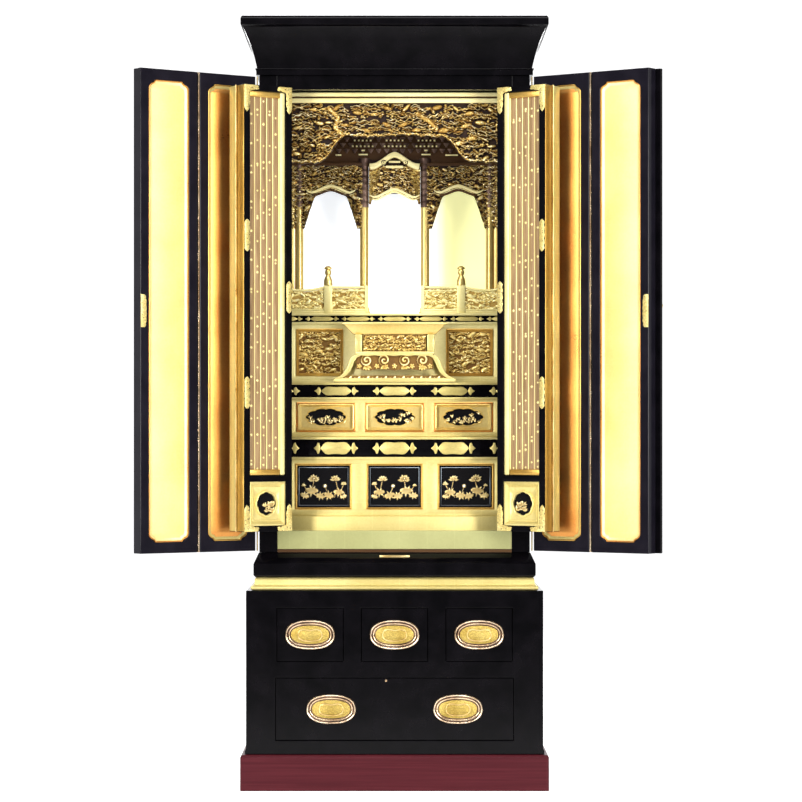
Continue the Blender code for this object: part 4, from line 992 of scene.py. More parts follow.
def transom():
    ends = (transom_low.x, transom_high.x)
    relief = Relief(*ends, transom_edge, lambda _: RAIL_FOOT + 1 * MM, CARVING_STEP)
    for trunk in TRUNKS:
        relief.branch(trunk, 6 * MM, 0.80 * TRANSOM_DEPTH)
    landscape(relief, *ends, transom_low.z, RAIL_FOOT, TRANSOM_DEPTH, 18 * MM)
    edge = [(value, transom_edge(value) + 2.6 * MM) for value in np.linspace(*ends, BORDER_LEAVES)]
    relief.branch(edge, 1.6 * MM, 0.80 * TRANSOM_DEPTH)
    for (x0, z0), (x1, z1) in zip(edge, edge[1:]):
        turn = math.atan2(z1 - z0, x1 - x0) + draw.uniform(-0.7, 0.7)
        wide, tall = draw.uniform(3.0, 5.6) * MM, draw.uniform(1.5, 2.8) * MM
        lift = draw.uniform(-0.6, 2.2) * MM
        relief.dome(x0, z0 + lift, wide, tall, turn, draw.uniform(0.7, 1.0) * TRANSOM_DEPTH)
    face = transom_low.y + TRANSOM_DEPTH + 0.4 * MM
    return carving_shape(relief, face, transom_high.y, TRANSOM_DEPTH)


piece("transom_carving", transom(), BROWN_CARVING, stands_for=("transom",), sharp=60.0)
rail_parts = []
for foot, head, front in ((1.4, 10.4, 0.6), (14.2, 22.0, 0.0), (0.0, 14.6, 5.5)):
    ys = (transom_low.y + front * MM, transom_high.y)
    zs = (RAIL_FOOT + foot * MM, RAIL_FOOT + head * MM)
    rail_parts.append(block((transom_low.x, transom_high.x), ys, zs, 1.1 * MM))
hollow = rail_parts.pop()
piece("transom_rails", rail_parts, PAINTED_LIGHT_GOLD)
piece("transom_rail_hollow", hollow, BROWN)

# %% [markdown]
# ## What repeats
# Cartouches, slats, beads, rosettes, brackets and punched dots all repeat one motif. Geometry
# Nodes does that: the motif is the object's own mesh, a line or a ring of points is made beside
# it, and Instance on Points sets a motif on every point. The tree ends in Realize Instances and
# Set Material, and the result is taken out as a plain mesh. Copying meshes in a loop would look
# the same, but here the count and the step stay two numbers that can be turned at any time.

# %% Rows and rings
def repeat_tree(name, inputs, points):
    """A tree that sets its own geometry on points; `points` adds the nodes that make them."""
    tree = bpy.data.node_groups.new(name, "GeometryNodeTree")
    for word, kind in inputs:
        tree.interface.new_socket(word, in_out="INPUT", socket_type=kind)
    tree.interface.new_socket("Geometry", in_out="OUTPUT", socket_type="NodeSocketGeometry")
    start, end = tree.nodes.new("NodeGroupInput"), tree.nodes.new("NodeGroupOutput")
    place = tree.nodes.new("GeometryNodeInstanceOnPoints")
    realize = tree.nodes.new("GeometryNodeRealizeInstances")
    paint = tree.nodes.new("GeometryNodeSetMaterial")
    link = tree.links.new
    points(tree, start, place)
    link(start.outputs["Motif"], place.inputs["Instance"])
    link(place.outputs[0], realize.inputs[0])
    link(realize.outputs[0], paint.inputs["Geometry"])
    link(start.outputs["Material"], paint.inputs["Material"])
    link(paint.outputs[0], end.inputs[0])
    return tree


def row_points(tree, start, place):
    line = tree.nodes.new("GeometryNodeMeshLine")
    for word, socket in (("Count", "Count"), ("Start", "Start Location"), ("Step", "Offset")):
        tree.links.new(start.outputs[word], line.inputs[socket])
    tree.links.new(line.outputs[0], place.inputs["Points"])


def grid_points(tree, start, place):
    """Rows and columns of points in the x, z plane, cut to an oval."""
    link, new = tree.links.new, tree.nodes.new
    grid = new("GeometryNodeMeshGrid")
    sockets = {"Width": "Size X", "Height": "Size Y", "Columns": "Vertices X", "Rows": "Vertices Y"}
    for word, socket in sockets.items():
        link(start.outputs[word], grid.inputs[socket])
    spot, parts = new("GeometryNodeInputPosition"), new("ShaderNodeSeparateXYZ")
    link(spot.outputs[0], parts.inputs[0])
    shares = []
    for part, word in ((0, "Width"), (1, "Height")):
        share, square = new("ShaderNodeMath"), new("ShaderNodeMath")
        share.operation, square.operation = "DIVIDE", "POWER"
        link(parts.outputs[part], share.inputs[0])
        link(start.outputs[word], share.inputs[1])
        link(share.outputs[0], square.inputs[0])
        square.inputs[1].default_value = 2.0
        shares.append(square)
    total, outside = new("ShaderNodeMath"), new("FunctionNodeCompare")
    outside.data_type, outside.operation = "FLOAT", "GREATER_THAN"
    link(shares[0].outputs[0], total.inputs[0])
    link(shares[1].outputs[0], total.inputs[1])
    link(total.outputs[0], outside.inputs[0])
    outside.inputs[1].default_value = 0.25
    cut, stand = new("GeometryNodeDeleteGeometry"), new("ShaderNodeVectorRotate")
    shift = new("GeometryNodeSetPosition")
    link(grid.outputs[0], cut.inputs["Geometry"])
    link(outside.outputs[0], cut.inputs["Selection"])
    stand.rotation_type = "X_AXIS"
    stand.inputs["Angle"].default_value = math.pi / 2
    link(spot.outputs[0], stand.inputs["Vector"])
    link(cut.outputs[0], shift.inputs["Geometry"])
    link(stand.outputs[0], shift.inputs["Position"])
    link(start.outputs["Start"], shift.inputs["Offset"])
    link(shift.outputs[0], place.inputs["Points"])


MOTIF = [("Motif", "NodeSocketGeometry"), ("Material", "NodeSocketMaterial"), ("Start", "NodeSocketVector")]
ROW = repeat_tree("row", MOTIF + [("Step", "NodeSocketVector"), ("Count", "NodeSocketInt")], row_points)
OVAL_GRID = repeat_tree("oval_grid", MOTIF + [
    ("Width", "NodeSocketFloat"), ("Height", "NodeSocketFloat"),
    ("Columns", "NodeSocketInt"), ("Rows", "NodeSocketInt"),
], grid_points)


def repeated(motif, tree, material, **values):
    """The motif set out by a tree, as a plain shape; motif is freed."""
    mesh = bpy.data.meshes.new("motif")
    motif.to_mesh(mesh)
    motif.free()
    holder = bpy.data.objects.new("motif", mesh)
    scene.collection.objects.link(holder)
    modifier = holder.modifiers.new("repeat", "NODES")
    modifier.node_group = tree
    for item in tree.interface.items_tree:
        if item.in_out == "INPUT" and item.name in values:
            modifier[item.identifier] = values[item.name]
        elif item.in_out == "INPUT" and item.name == "Material":
            modifier[item.identifier] = material
    graph = bpy.context.evaluated_depsgraph_get()
    result = bpy.data.meshes.new_from_object(holder.evaluated_get(graph))
    holder.modifiers.remove(modifier)
    shape = bmesh.new()
    shape.from_mesh(result)
    bpy.data.objects.remove(holder)
    bpy.data.meshes.remove(mesh)
    bpy.data.meshes.remove(result)
    return shape


print("trees:", ROW.name, OVAL_GRID.name)

# %% [markdown]
# ## Frames and openings
# A joiner mitres a moulded frame round each sunk panel. Here a frame is lofted: outlines of the
# same number of points are set one inside the other, each at its own depth, and skinned. The last
# outline joins the first again, so the frame is closed behind.

# %% Frames
def rounded_rectangle(x, z, wide, tall, radius, steps=5):
    points = []
    for i, (right, up) in enumerate(((1, 1), (-1, 1), (-1, -1), (1, -1))):
        for step in range(steps + 1):
            angle = math.pi / 2 * (i + step / steps)
            points.append((
                x + right * (wide / 2 - radius) + radius * math.cos(angle),
                z + up * (tall / 2 - radius) + radius * math.sin(angle),
            ))
    return points


def rayed(x, z, wide, tall, angles, lobes=0, depth=0.0):
    """A rectangle, or with lobes a cusped oval, whose points lie on given rays."""
    points = []
    for angle in angles:
        right, up = math.cos(angle), math.sin(angle)
        if lobes:
            reach = 1.0 - depth * (1.0 - abs(math.cos(lobes * angle / 2)) ** 0.7)
            points.append((x + reach * wide / 2 * right, z + reach * tall / 2 * up))
        else:
            reach = 1.0 / max(abs(right) / (wide / 2), abs(up) / (tall / 2))
            points.append((x + reach * right, z + reach * up))
    return points


def lofted(rings):
    """A closed frame through rings of (outline, y)."""
    shape = bmesh.new()
    rows = [[shape.verts.new((x, y, z)) for x, z in outline] for outline, y in rings]
    return skinned(shape, rows + rows[:1])


def framed(x, z, wide, tall, face, profile, radius=0.4):
    """A frame whose profile is pairs of inset and depth in mm, first at its outer edge."""
    rings = []
    for inset, y in profile:
        size = (wide - 2 * inset * MM, tall - 2 * inset * MM)
        rings.append((rounded_rectangle(x, z, *size, max(0.15, radius - inset) * MM), face + y * MM))
    return lofted(rings)


def corner_rays(wide, tall, count):
    """Even rays from a rectangle's middle, and one through each corner."""
    corner = math.atan2(tall, wide)
    corners = {corner, math.pi - corner, math.pi + corner, 2 * math.pi - corner}
    return sorted(set(np.linspace(0, 2 * math.pi, count, endpoint=False).tolist()) | corners)


def field(x, z, wide, tall, step):
    """A blank carved panel about a middle."""
    foot, head = z - tall / 2, z + tall / 2
    return Relief(x - wide / 2, x + wide / 2, lambda _: foot, lambda _: head, step)


print("a frame has", len(rounded_rectangle(0, 0, 1, 1, 0.1)), "points a ring")

# %% [markdown]
# ## The three tiers
# The stepped platform carries the offerings. Each tier has a gilded face with sunk panels and
# above it a black lacquered band with gilt cartouches. The bottom tier's panels are black lacquer
# with lotus in gold, the middle ones a cusped black oval in a broad bevelled frame, and the top
# ones open carving. One loop makes the body, the pierced face board, the lips and the band of
# each, and the panels are set into them.

# %% Tiers
SHRINE_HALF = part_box("lower_tier")[1].x
TIER_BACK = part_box("lower_tier")[1].y
PANEL_SINK = 5 * MM
BAND_SET_BACK = 8 * MM
TIER_LIP = 3 * MM
LIP_TALL = 4.5 * MM
FACE_THICK = 6 * MM
RISER_Y, RISER_TOP = -0.155, 0.5432
TIERS = {  # face y, face foot, head, then panels: half pitch places, width, height, middle z
    "lower_tier": (-0.140, 0.5432, 0.6622, (-0.1433, 0.0, 0.1433), 0.1133, 0.091, 0.6029),
    "middle_tier": (-0.090, 0.7026, 0.7832, (-0.140, 0.0, 0.140), 0.118, 0.058, 0.7429),
    "upper_tier": (-0.030, 0.8136, 0.9382, (-0.154, 0.154), 0.094, 0.094, 0.8759),
}
CARTOUCHES = (0.090, 0.70, 0.1185, 5)  # width, share of the band's height, pitch and count
UPPER_CARTOUCHES = (0.070, 0.72, 0.0745, 7)


def cartouche(wide, tall, thick):
    """A pointed lozenge with a three-leaved bud at each end."""
    body = doubled([(0.0, -0.46), (0.20, -0.5), (0.27, -0.46), (0.33, -0.28), (0.40, 0.0)])
    bud = doubled([(0.40, -0.10), (0.43, -0.42), (0.47, -0.46), (0.50, -0.20), (0.57, 0.0)])
    outline = [(x * wide * 0.875, z * tall) for x, z in body + [(-x, z) for x, z in body[-2:0:-1]]]
    shapes = [plate([outline], -thick, thick, 0.32 * thick)]
    for side in (-1, 1):
        points = [(side * x * wide * 0.875, z * tall) for x, z in bud]
        shapes.append(plate([points], -0.8 * thick, 0.8 * thick, 0.25 * thick))
    return together(shapes)


def cartouche_row(name, face, middle, wide, tall, pitch, count):
    """Cartouches along a band; those at its ends are cut where the band meets the sides."""
    shape = repeated(
        cartouche(wide, tall, 1.8 * MM), ROW, CARTOUCHE_GOLD,
        Start=(-pitch * (count - 1) / 2, face, middle), Step=(pitch, 0.0, 0.0), Count=count,
    )
    for side in (-1, 1):
        everything = shape.verts[:] + shape.edges[:] + shape.faces[:]
        cut = bmesh.ops.bisect_plane(
            shape, geom=everything, plane_co=(side * (SHRINE_HALF - 0.4 * MM), 0.0, 0.0),
            plane_no=(side, 0.0, 0.0), clear_outer=True,
        )
        bmesh.ops.holes_fill(shape, edges=[e for e in cut["geom_cut"] if isinstance(e, bmesh.types.BMEdge)])
    piece(name, shape, CARTOUCHE_GOLD, sharp=40.0)


for name, (face, foot, head, places, wide, tall, middle) in TIERS.items():
    low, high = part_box(name)
    across = (-SHRINE_HALF, SHRINE_HALF)
    board = [mirrored([(SHRINE_HALF, foot), (SHRINE_HALF, head)])]
    holes = [rounded_rectangle(x, middle, wide, tall, 1.2 * MM, 3) for x in places]
    parts = [
        block(across, (face + FACE_THICK + 1 * MM, TIER_BACK), (low.z, head - 1 * MM), 0.3 * MM),
        plate(board + holes, face, FACE_THICK + 1.2 * MM, 0.4 * MM),
        block(across, (face - TIER_LIP, face + 2 * MM), (foot, foot + LIP_TALL), 0.9 * MM),
        block(across, (face - TIER_LIP, face + 12 * MM), (head - LIP_TALL, head), 0.9 * MM),
        block(across, (face - 0.4 * MM, TIER_BACK), (high.z - LIP_TALL, high.z), 0.9 * MM),
    ]
    if low.z < foot - 1 * MM:
        parts.append(block(across, (RISER_Y, TIER_BACK), (low.z, RISER_TOP - 0.1 * MM), 0.8 * MM))
    # the upper tier's face takes a paler gold, painted light where the table and the transom shade it
    gold = PALE_GOLD if name == "upper_tier" else GOLD
    piece(name + "_face", parts, gold, stands_for=(name,))
    ys = (face + BAND_SET_BACK, TIER_BACK - 1 * MM)
    band = block(across, ys, (head - 1 * MM, high.z - 3 * MM), 0.2 * MM)
    piece(name + "_band", band, BLACK)
    space = high.z - LIP_TALL - head
    wide, tall, pitch, count = UPPER_CARTOUCHES if name == "upper_tier" else CARTOUCHES
    cartouche_row(name + "_cartouches", ys[0], head + space / 2, wide, tall * space, pitch, count)

# %% [markdown]
# ## Panels in the tiers
# Lotus rises from the mud and flowers clean, so it belongs on an altar. Each black panel is one
# carved sheet: leaves and blossoms stand a few millimetres proud of the ground, and the material
# turns from lacquer to gold by the relief attribute. A thin raised line runs round each panel,
# painted pale blue as a painted highlight on the lacquer rim, and it fades towards the foot.

# %% Lotus, ovals and carved squares
LOTUS_HEIGHT = 3 * MM
LOTUS_STEMS = (  # foot, head and bend, in mm from the panel's middle
    ((-14, -20), (-19, 14), -6), ((22, -22), (24, 15), 5), ((4, -24), (3, 0), 4),
    ((-30, -22), (-40, 2), 3), ((34, -24), (41, 5), -3), ((10, -24), (32, -6), 6),
)
LOTUS_BLOSSOMS = ((-20, 16, 11, 7), (24, 16, 8.5, 6), (-40, 3, 4.5, 5), (41, 6, 5.5, 5))
LOTUS_PADS = ((-24, -9, 13), (-6, -19, 10), (10, -18, 11), (31, -12, 11), (-38, -18, 9), (40, -20, 7))
LOTUS_PROFILES = (  # the frame, the pillow and the painted highlight line, each with its corners' radius
    ([(0, 1.0), (0, -1.2), (1.2, -1.6), (2.2, -0.4), (3.2, 1.0), (4.2, 1.2), (4.2, 6.0), (0, 6.0)], 2.0),
    ([(3.6, 5.6), (3.9, 3.2), (5.2, 2.5), (7.4, 2.5), (9.6, 3.6), (10.4, 5.6)], 8.0),
    ([(8.2, 3.9), (8.2, 2.6), (8.8, 2.9), (8.8, 4.2)], 8.0),
)
OVAL_PROFILE = [
    (0.0, 1.0), (0.0, -1.4), (1.0, -1.8), (2.0, -0.6), (2.4, 0.6), (3.4, 0.8), (3.4, 6.0), (0.0, 6.0),
]
SQUARE_PROFILE = [
    (0.0, 1.0), (0.0, -1.6), (1.4, -2.0), (2.6, -0.8), (3.6, 0.4), (3.8, 1.4), (5.6, 1.2), (6.4, 2.6),
    (6.4, 6.0), (0.0, 6.0),
]
SQUARE_HEIGHT = 4.6 * MM
OVAL_LOBES = 10
OVAL_HOLE = ((5.0, 4.6, 0.12, 3.4), (3.0, 3.0, 0.12, 1.8), (0, 0, 0.12, 3.0), (0, 0, 0.10, 5.6))


def lotus_panel(x, z, wide, tall, hand):
    relief = field(x, z, wide, tall, 0.85 * MM)

    def spot(right, up):
        return x + hand * right * MM, z + up * MM

    for start, end, bend in LOTUS_STEMS:
        middle = ((start[0] + end[0]) / 2 + bend, (start[1] + end[1]) / 2)
        relief.branch([spot(*start), spot(*middle), spot(*end)], 0.8 * MM, 0.45 * LOTUS_HEIGHT)
    for right, up, reach, petals in LOTUS_BLOSSOMS:
        a, b = spot(right, up)
        for i in range(petals):
            turn = math.pi * (0.04 + 0.92 * i / (petals - 1))
            long = draw.uniform(1.0, 1.35) * reach * MM
            curl = draw.uniform(-0.1, 0.1)
            relief.leaf(a, b - 0.35 * reach * MM, long, 0.34 * reach * MM, turn, LOTUS_HEIGHT, curl)
        relief.flower(a, b, 0.66 * reach * MM, petals, 1.1 * LOTUS_HEIGHT, draw.uniform(0, 3))
    for right, up, reach in LOTUS_PADS:
        a, b = spot(right, up)
        lean = draw.uniform(-0.3, 0.3)
        relief.dome(a, b, 1.1 * reach * MM, 0.58 * reach * MM, lean, 0.85 * LOTUS_HEIGHT)
        for i in range(7):
            turn = 2 * math.pi * i / 7 + lean
            relief.leaf(a, b, reach * MM, 0.16 * reach * MM, turn, LOTUS_HEIGHT, 0.1)
    a, b = spot(3, 1)
    relief.dome(a, b, 4.2 * MM, 4.2 * MM, 0.0, 1.2 * LOTUS_HEIGHT)
    return relief


def oval_panel(x, z, wide, tall):
    """Reeds and small leaves along the foot of the oval, and a few sprays above."""
    relief = field(x, z, wide, tall, 0.85 * MM)
    for _ in range(26):
        right = draw.uniform(-0.46, 0.46) * wide
        up = -0.34 * tall + 0.55 * tall * abs(draw.normal(0.0, 0.33))
        for spread in (-0.7, 0.0, 0.7):
            turn = math.pi / 2 + spread + draw.uniform(-0.3, 0.3)
            proud = draw.uniform(0.6, 1.0) * LOTUS_HEIGHT
            relief.leaf(x + right, z + up, 6.5 * MM, 1.5 * MM, turn, proud, 0.3)
        relief.dome(x + right, z + up, 2.4 * MM, 1.6 * MM, draw.uniform(0, 3), 0.9 * LOTUS_HEIGHT)
    return relief


face, _, _, places, wide, tall, middle = TIERS["lower_tier"]
frames, rims, highlight_lines = [
    [framed(x, middle, wide + 2 * MM, tall + 2 * MM, face, *profile) for x in places]
    for profile in LOTUS_PROFILES
]
panels = []
for x, hand in zip(places, (1, -1, -1)):
    relief = lotus_panel(x, middle, wide - 4 * MM, tall - 4 * MM, hand)
    panels.append(carving_shape(relief, face + PANEL_SINK - 0.4 * MM, face + 9 * MM, LOTUS_HEIGHT))
piece("lotus_frames", frames, DEEP_GOLD, sharp=25.0)
piece("lotus_panels", panels, NIGHT_CARVING, sharp=60.0)
piece("lotus_panel_rims", rims, BLACK, sharp=60.0)


def highlight_line_finish(name, foot, head):
    """A painted highlight on black lacquer: a thin pale blue line that fades towards the foot of its panel.
    """
    line = Finish(name, Metallic=0.3)
    up = line.axes()[2].step(foot, head)
    gleam = line.mottle(26.0, 2.0).step(0.36, 0.62)
    bright = up * (0.25 + 0.75 * gleam)
    line.set("Base Color", line.blend(bright, (0.010, 0.012, 0.016), (0.55, 0.66, 0.74)))
    line.set("Roughness", 0.16 + 0.10 * gleam)
    return line.material


HIGHLIGHT_LINE = highlight_line_finish("painted_highlight_line", middle - 0.45 * tall, middle + 0.30 * tall)
piece("lotus_panel_highlight_lines", highlight_lines, HIGHLIGHT_LINE, sharp=60.0)

face, _, _, places, wide, tall, middle = TIERS["middle_tier"]
angles = corner_rays(wide, tall, 96)
oval = (0.69 * wide, 0.60 * tall)
frames, bevels, panels = [], [], []
for x in places:
    frames.append(framed(x, middle, wide + 2 * MM, tall + 2 * MM, face, OVAL_PROFILE))
    rings = []
    for less_wide, less_tall, y in ((4.4, 4.4, -1.0), (7.0, 7.0, -1.4), (20.0, 16.0, 3.2), (4.4, 4.4, 5.6)):
        rings.append((rayed(x, middle, wide - less_wide * MM, tall - less_tall * MM, angles), face + y * MM))
    hole = []
    for more_wide, more_tall, cusp, y in OVAL_HOLE:
        size = (oval[0] + more_wide * MM, oval[1] + more_tall * MM)
        hole.append((rayed(x, middle, *size, angles, OVAL_LOBES, cusp), face + y * MM))
    bevels.append(lofted(rings[:3] + hole + rings[3:]))
    relief = oval_panel(x, middle, oval[0] + 3 * MM, oval[1] + 3 * MM)
    panels.append(carving_shape(relief, face + 5 * MM, face + 9 * MM, LOTUS_HEIGHT))
piece("oval_frames", frames, AMBER_GOLD, sharp=25.0)
piece("oval_bevels", bevels, HONEY_GOLD, sharp=25.0)
piece("oval_panels", panels, NIGHT_CARVING, sharp=60.0)

face, _, _, places, wide, tall, middle = TIERS["upper_tier"]
frames, panels = [], []
for x in places:
    frames.append(framed(x, middle, wide + 3 * MM, tall + 3 * MM, face, SQUARE_PROFILE))
    relief = field(x, middle, wide - 6 * MM, tall - 6 * MM, 0.95 * MM)
    foot = middle - tall / 2 + 3 * MM
    landscape(relief, x - wide / 2, x + wide / 2, foot, foot + tall - 6 * MM, SQUARE_HEIGHT, 14 * MM)
    panels.append(carving_shape(relief, face + PANEL_SINK + 0.4 * MM, face + 9 * MM, SQUARE_HEIGHT))
piece("square_frames", frames, DEEP_GOLD, sharp=25.0)
piece("square_panels", panels, BRIGHT_CARVING, sharp=60.0)
print("carved panels:", sum(len(tier[3]) for tier in TIERS.values()))

# %% [markdown]
# ## Arcade and columns
# Behind the transom a little palace front stands on the top tier: four columns, carved spandrels
# that hang down beside each bay like drawn curtains, and over the middle bay a curved gable. The
# spandrels are carved sheets whose lower edge is a function of x. The arch mouldings and the gable
# are plates between two curves. Rows of small stepped brackets fill the dark zone under the roof.

# %% Arcade
ARCADE_FACE = 24 * MM
SIDE_BAY, SIDE_HALF = 0.1322, 0.0545
SIDE_CROWN, SIDE_SHOULDER, SIDE_FOOT = 1.2110, 1.2000, 1.1330
CENTRE_HALF, CENTRE_CROWN = 0.0530, 1.2060
BEAM_FOOT = 1.2640
FIT_HALF = SHRINE_HALF - 0.3 * MM  # clear of the sides


def side_edge(x):
    """The lower contour over a side bay."""
    reach = abs(abs(x) - SIDE_BAY)
    flat = 0.58 * SIDE_HALF
    if reach < flat:
        return SIDE_SHOULDER + (SIDE_CROWN - SIDE_SHOULDER) * math.cos(math.pi / 2 * reach / flat)
    fall = min(1.0, (reach - flat) / (SIDE_HALF - flat))
    return SIDE_SHOULDER - (SIDE_SHOULDER - SIDE_FOOT) * fall**1.15 + 1.5 * MM * abs(math.sin(9 * fall))


def centre_edge(x):
    reach = abs(x) / CENTRE_HALF
    cusp = 4 * MM * (1 - abs(math.sin(math.pi * min(1.0, reach) * 1.5)))
    return CENTRE_CROWN - 17 * MM * reach**2.2 - cusp * (reach > 0.35)


def arch_band(middle, half, crown, drop, thick, flare, taper=0.35):
    """An ogee moulding: high in the middle, hollow at its shoulders, turned up at its ends."""

    def curve(share):
        fall = drop * math.sin(math.pi / 2 * abs(share)) ** 1.6
        return crown - fall + flare * max(0.0, abs(share) - 0.72) ** 1.4

    shares = np.linspace(-1, 1, 33)
    top = [(middle + half * s, curve(s)) for s in shares]
    under = [(middle + 0.96 * half * s, curve(s) - thick * (1.0 - taper * abs(s))) for s in shares[::-1]]
    return top + under


def stepped_band(middle, half, crown, drop):
    """A broad moulding with a narrower one set back under it."""
    upper = arch_band(middle, half, crown, drop, 6.4 * MM, 40 * MM)
    lower = arch_band(middle, 0.97 * half, crown - 6.9 * MM, 0.96 * drop, 3.6 * MM, 34 * MM)
    return [plate([upper], ARCADE_FACE - 5.4 * MM, 9 * MM, 1.4 * MM),
            plate([lower], ARCADE_FACE - 3.4 * MM, 7 * MM, 0.9 * MM)]


carved, bands, soffits = [], [], []
for side, _ in SIDES:
    ends = span(side, SIDE_BAY - SIDE_HALF - 11 * MM, min(SIDE_BAY + SIDE_HALF + 40 * MM, FIT_HALF))
    relief = Relief(*ends, side_edge, lambda _: BEAM_FOOT, 1.05 * MM)
    landscape(relief, *ends, SIDE_FOOT, BEAM_FOOT, 5 * MM, 13 * MM)
    carved.append(carving_shape(relief, ARCADE_FACE, 34 * MM, 5 * MM))
    middle = side * SIDE_BAY
    bands += stepped_band(middle, 0.052, SIDE_CROWN + 14 * MM, 17 * MM)
    soffits.append(plate([arch_band(middle, 0.040, SIDE_CROWN + 5.4 * MM, 12 * MM, 6 * MM, 0.0)],
                         ARCADE_FACE - 4.4 * MM, 9 * MM, 0.8 * MM))
relief = Relief(-CENTRE_HALF, CENTRE_HALF, centre_edge, lambda _: BEAM_FOOT + 12 * MM, 1.05 * MM)
landscape(relief, -CENTRE_HALF, CENTRE_HALF, 1.185, BEAM_FOOT, 4 * MM, 12 * MM)
carved.append(carving_shape(relief, ARCADE_FACE + 1 * MM, 34 * MM, 4 * MM))
piece("arcade_carving", carved, BROWN_CARVING, stands_for=("arcade",), sharp=60.0)


def spandrel_edge(x):
    return 1.184 + 62 * MM * max(0.0, 1.0 - (abs(x) - 0.030) / 0.019) ** 0.8


spandrels = []
for side, _ in SIDES:
    ends = span(side, 0.030, CENTRE_HALF)
    relief = Relief(*ends, spandrel_edge, lambda _: BEAM_FOOT, 0.95 * MM)
    landscape(relief, *ends, 1.186, BEAM_FOOT, 4.5 * MM, 10 * MM)
    spandrels.append(carving_shape(relief, ARCADE_FACE - 1 * MM, 33 * MM, 4.5 * MM))
piece("centre_spandrels", spandrels, BRIGHT_CARVING, sharp=60.0)
bands += stepped_band(0.0, 0.053, CENTRE_CROWN + 12 * MM, 20 * MM)
piece("arch_bands", bands, PAINTED_LIGHT_GOLD)
piece("arch_soffits", soffits, BROWN)

# %% Gable and brackets
GABLE_CROWN = 1.2915
BRACKETS, BRACKET_PITCH, TIP_PITCH = 25, 16.5 * MM, 8.25 * MM
EYE = (0.0225, 1.2695)
gable = arch_band(0.0, 0.0525, GABLE_CROWN, 25 * MM, 11.5 * MM, 6 * MM, -0.12)


def curl(side):
    """A scroll that winds inwards."""
    points = []
    for share in np.linspace(0, 1, 26):
        angle = side * 3 * math.pi * share + 0.6
        reach = 4.4 * MM * (1 - 0.78 * share)
        x, z = side * EYE[0] + reach * math.cos(angle), EYE[1] + reach * math.sin(angle)
        points.append((x, 9.4 * MM, z))
    return rod(points, 0.95 * MM)


curls = [curl(side) for side, _ in SIDES]
eyes = [rod([(side * EYE[0], y * MM, EYE[1]) for y in (9.8, 20)], 5.2 * MM, 5) for side, _ in SIDES]
piece("gable_eyes", eyes, BROWN, sharp=40.0)
bars = [block((-half, half), (13 * MM, 24 * MM), (z, z + tall), 1.2 * MM)
        for half, z, tall in ((0.0120, 1.2690, 4 * MM), (0.0180, 1.2580, 5 * MM))]
parts = [plate([gable], 10.5 * MM, 16 * MM, 2.2 * MM)] + curls + bars
piece("gable", parts, PAINTED_LIGHT_GOLD)

heights = (BEAM_FOOT - 2 * MM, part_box("arcade")[1].z)
beams = [block((-FIT_HALF, FIT_HALF), (27 * MM, 34.6 * MM), heights, 0.8 * MM)]
pilasters = []
for side, _ in SIDES:
    heights = (BEAM_FOOT - 1 * MM, BEAM_FOOT + 6 * MM)
    beams.append(block(span(side, 0.054, FIT_HALF), (21 * MM, 30 * MM), heights, 1.2 * MM))
    heights = (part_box("column_left_outer")[0].z, BEAM_FOOT)
    pilasters.append(block(span(side, 0.2075, FIT_HALF), (23 * MM, 33 * MM), heights, 1 * MM))
piece("roof_beams", beams, BROWN)


def bracket():
    """One stepped bracket: three blocks, each wider than the one below."""
    steps = ((2.2, 0.0, 3.4, 5.0), (4.0, 3.4, 6.0, 6.0), (5.6, 6.0, 8.4, 7.2))
    return together([
        block((-half * MM, half * MM), (-front * MM, 0.0), (low * MM, high * MM), 0.4 * MM)
        for half, low, high, front in steps
    ])


rows = []
for i, z in enumerate((1.2900, 1.3020, 1.3140, 1.3260)):
    count = BRACKETS - i % 2
    start = (-BRACKET_PITCH * (count - 1) / 2, (27.2 - 0.4 * i) * MM, z)
    rows.append(repeated(
        bracket(), ROW, DARK_BRONZE, Start=start, Step=(BRACKET_PITCH, 0.0, 0.0), Count=count
    ))
piece("roof_brackets", rows, DARK_BRONZE, sharp=40.0)
piece("side_pilasters", pilasters, HONEY_GOLD)
# painted highlights: pale caps on the beams and brackets, set where the dark zone under the roof shows glints
highlight_tips = [block((x - half, x + half), (16.4 * MM, 24 * MM), (z, z + 2.6 * MM), 0.6 * MM)
        for x, half, z in ((-0.0650, 0.0095, 1.2850), (0.0650, 0.0095, 1.2850), (0.1180, 0.0130, 1.2838),
                           (-0.0650, 0.0035, 1.2935), (0.0650, 0.0035, 1.2935), (-0.1160, 0.0060, 1.2838))]
for middle in (-0.0660, 0.0, 0.0660):
    for row, z in enumerate((1.3018, 1.3138, 1.3258)):
        ys = ((16.6 - 0.4 * row) * MM, 22 * MM)
        motif = block((-1.7 * MM, 1.7 * MM), ys, (0.0, 3.2 * MM), 0.6 * MM)
        start = (middle - (2.5 - 0.5 * row) * TIP_PITCH, 0.0, z)
        highlight_tips.append(repeated(motif, ROW, PALE_GOLD, Start=start, Step=(TIP_PITCH, 0.0, 0.0), Count=6 - row))
piece("beam_highlight_tips", highlight_tips, PAINTED_LIGHT_GOLD)

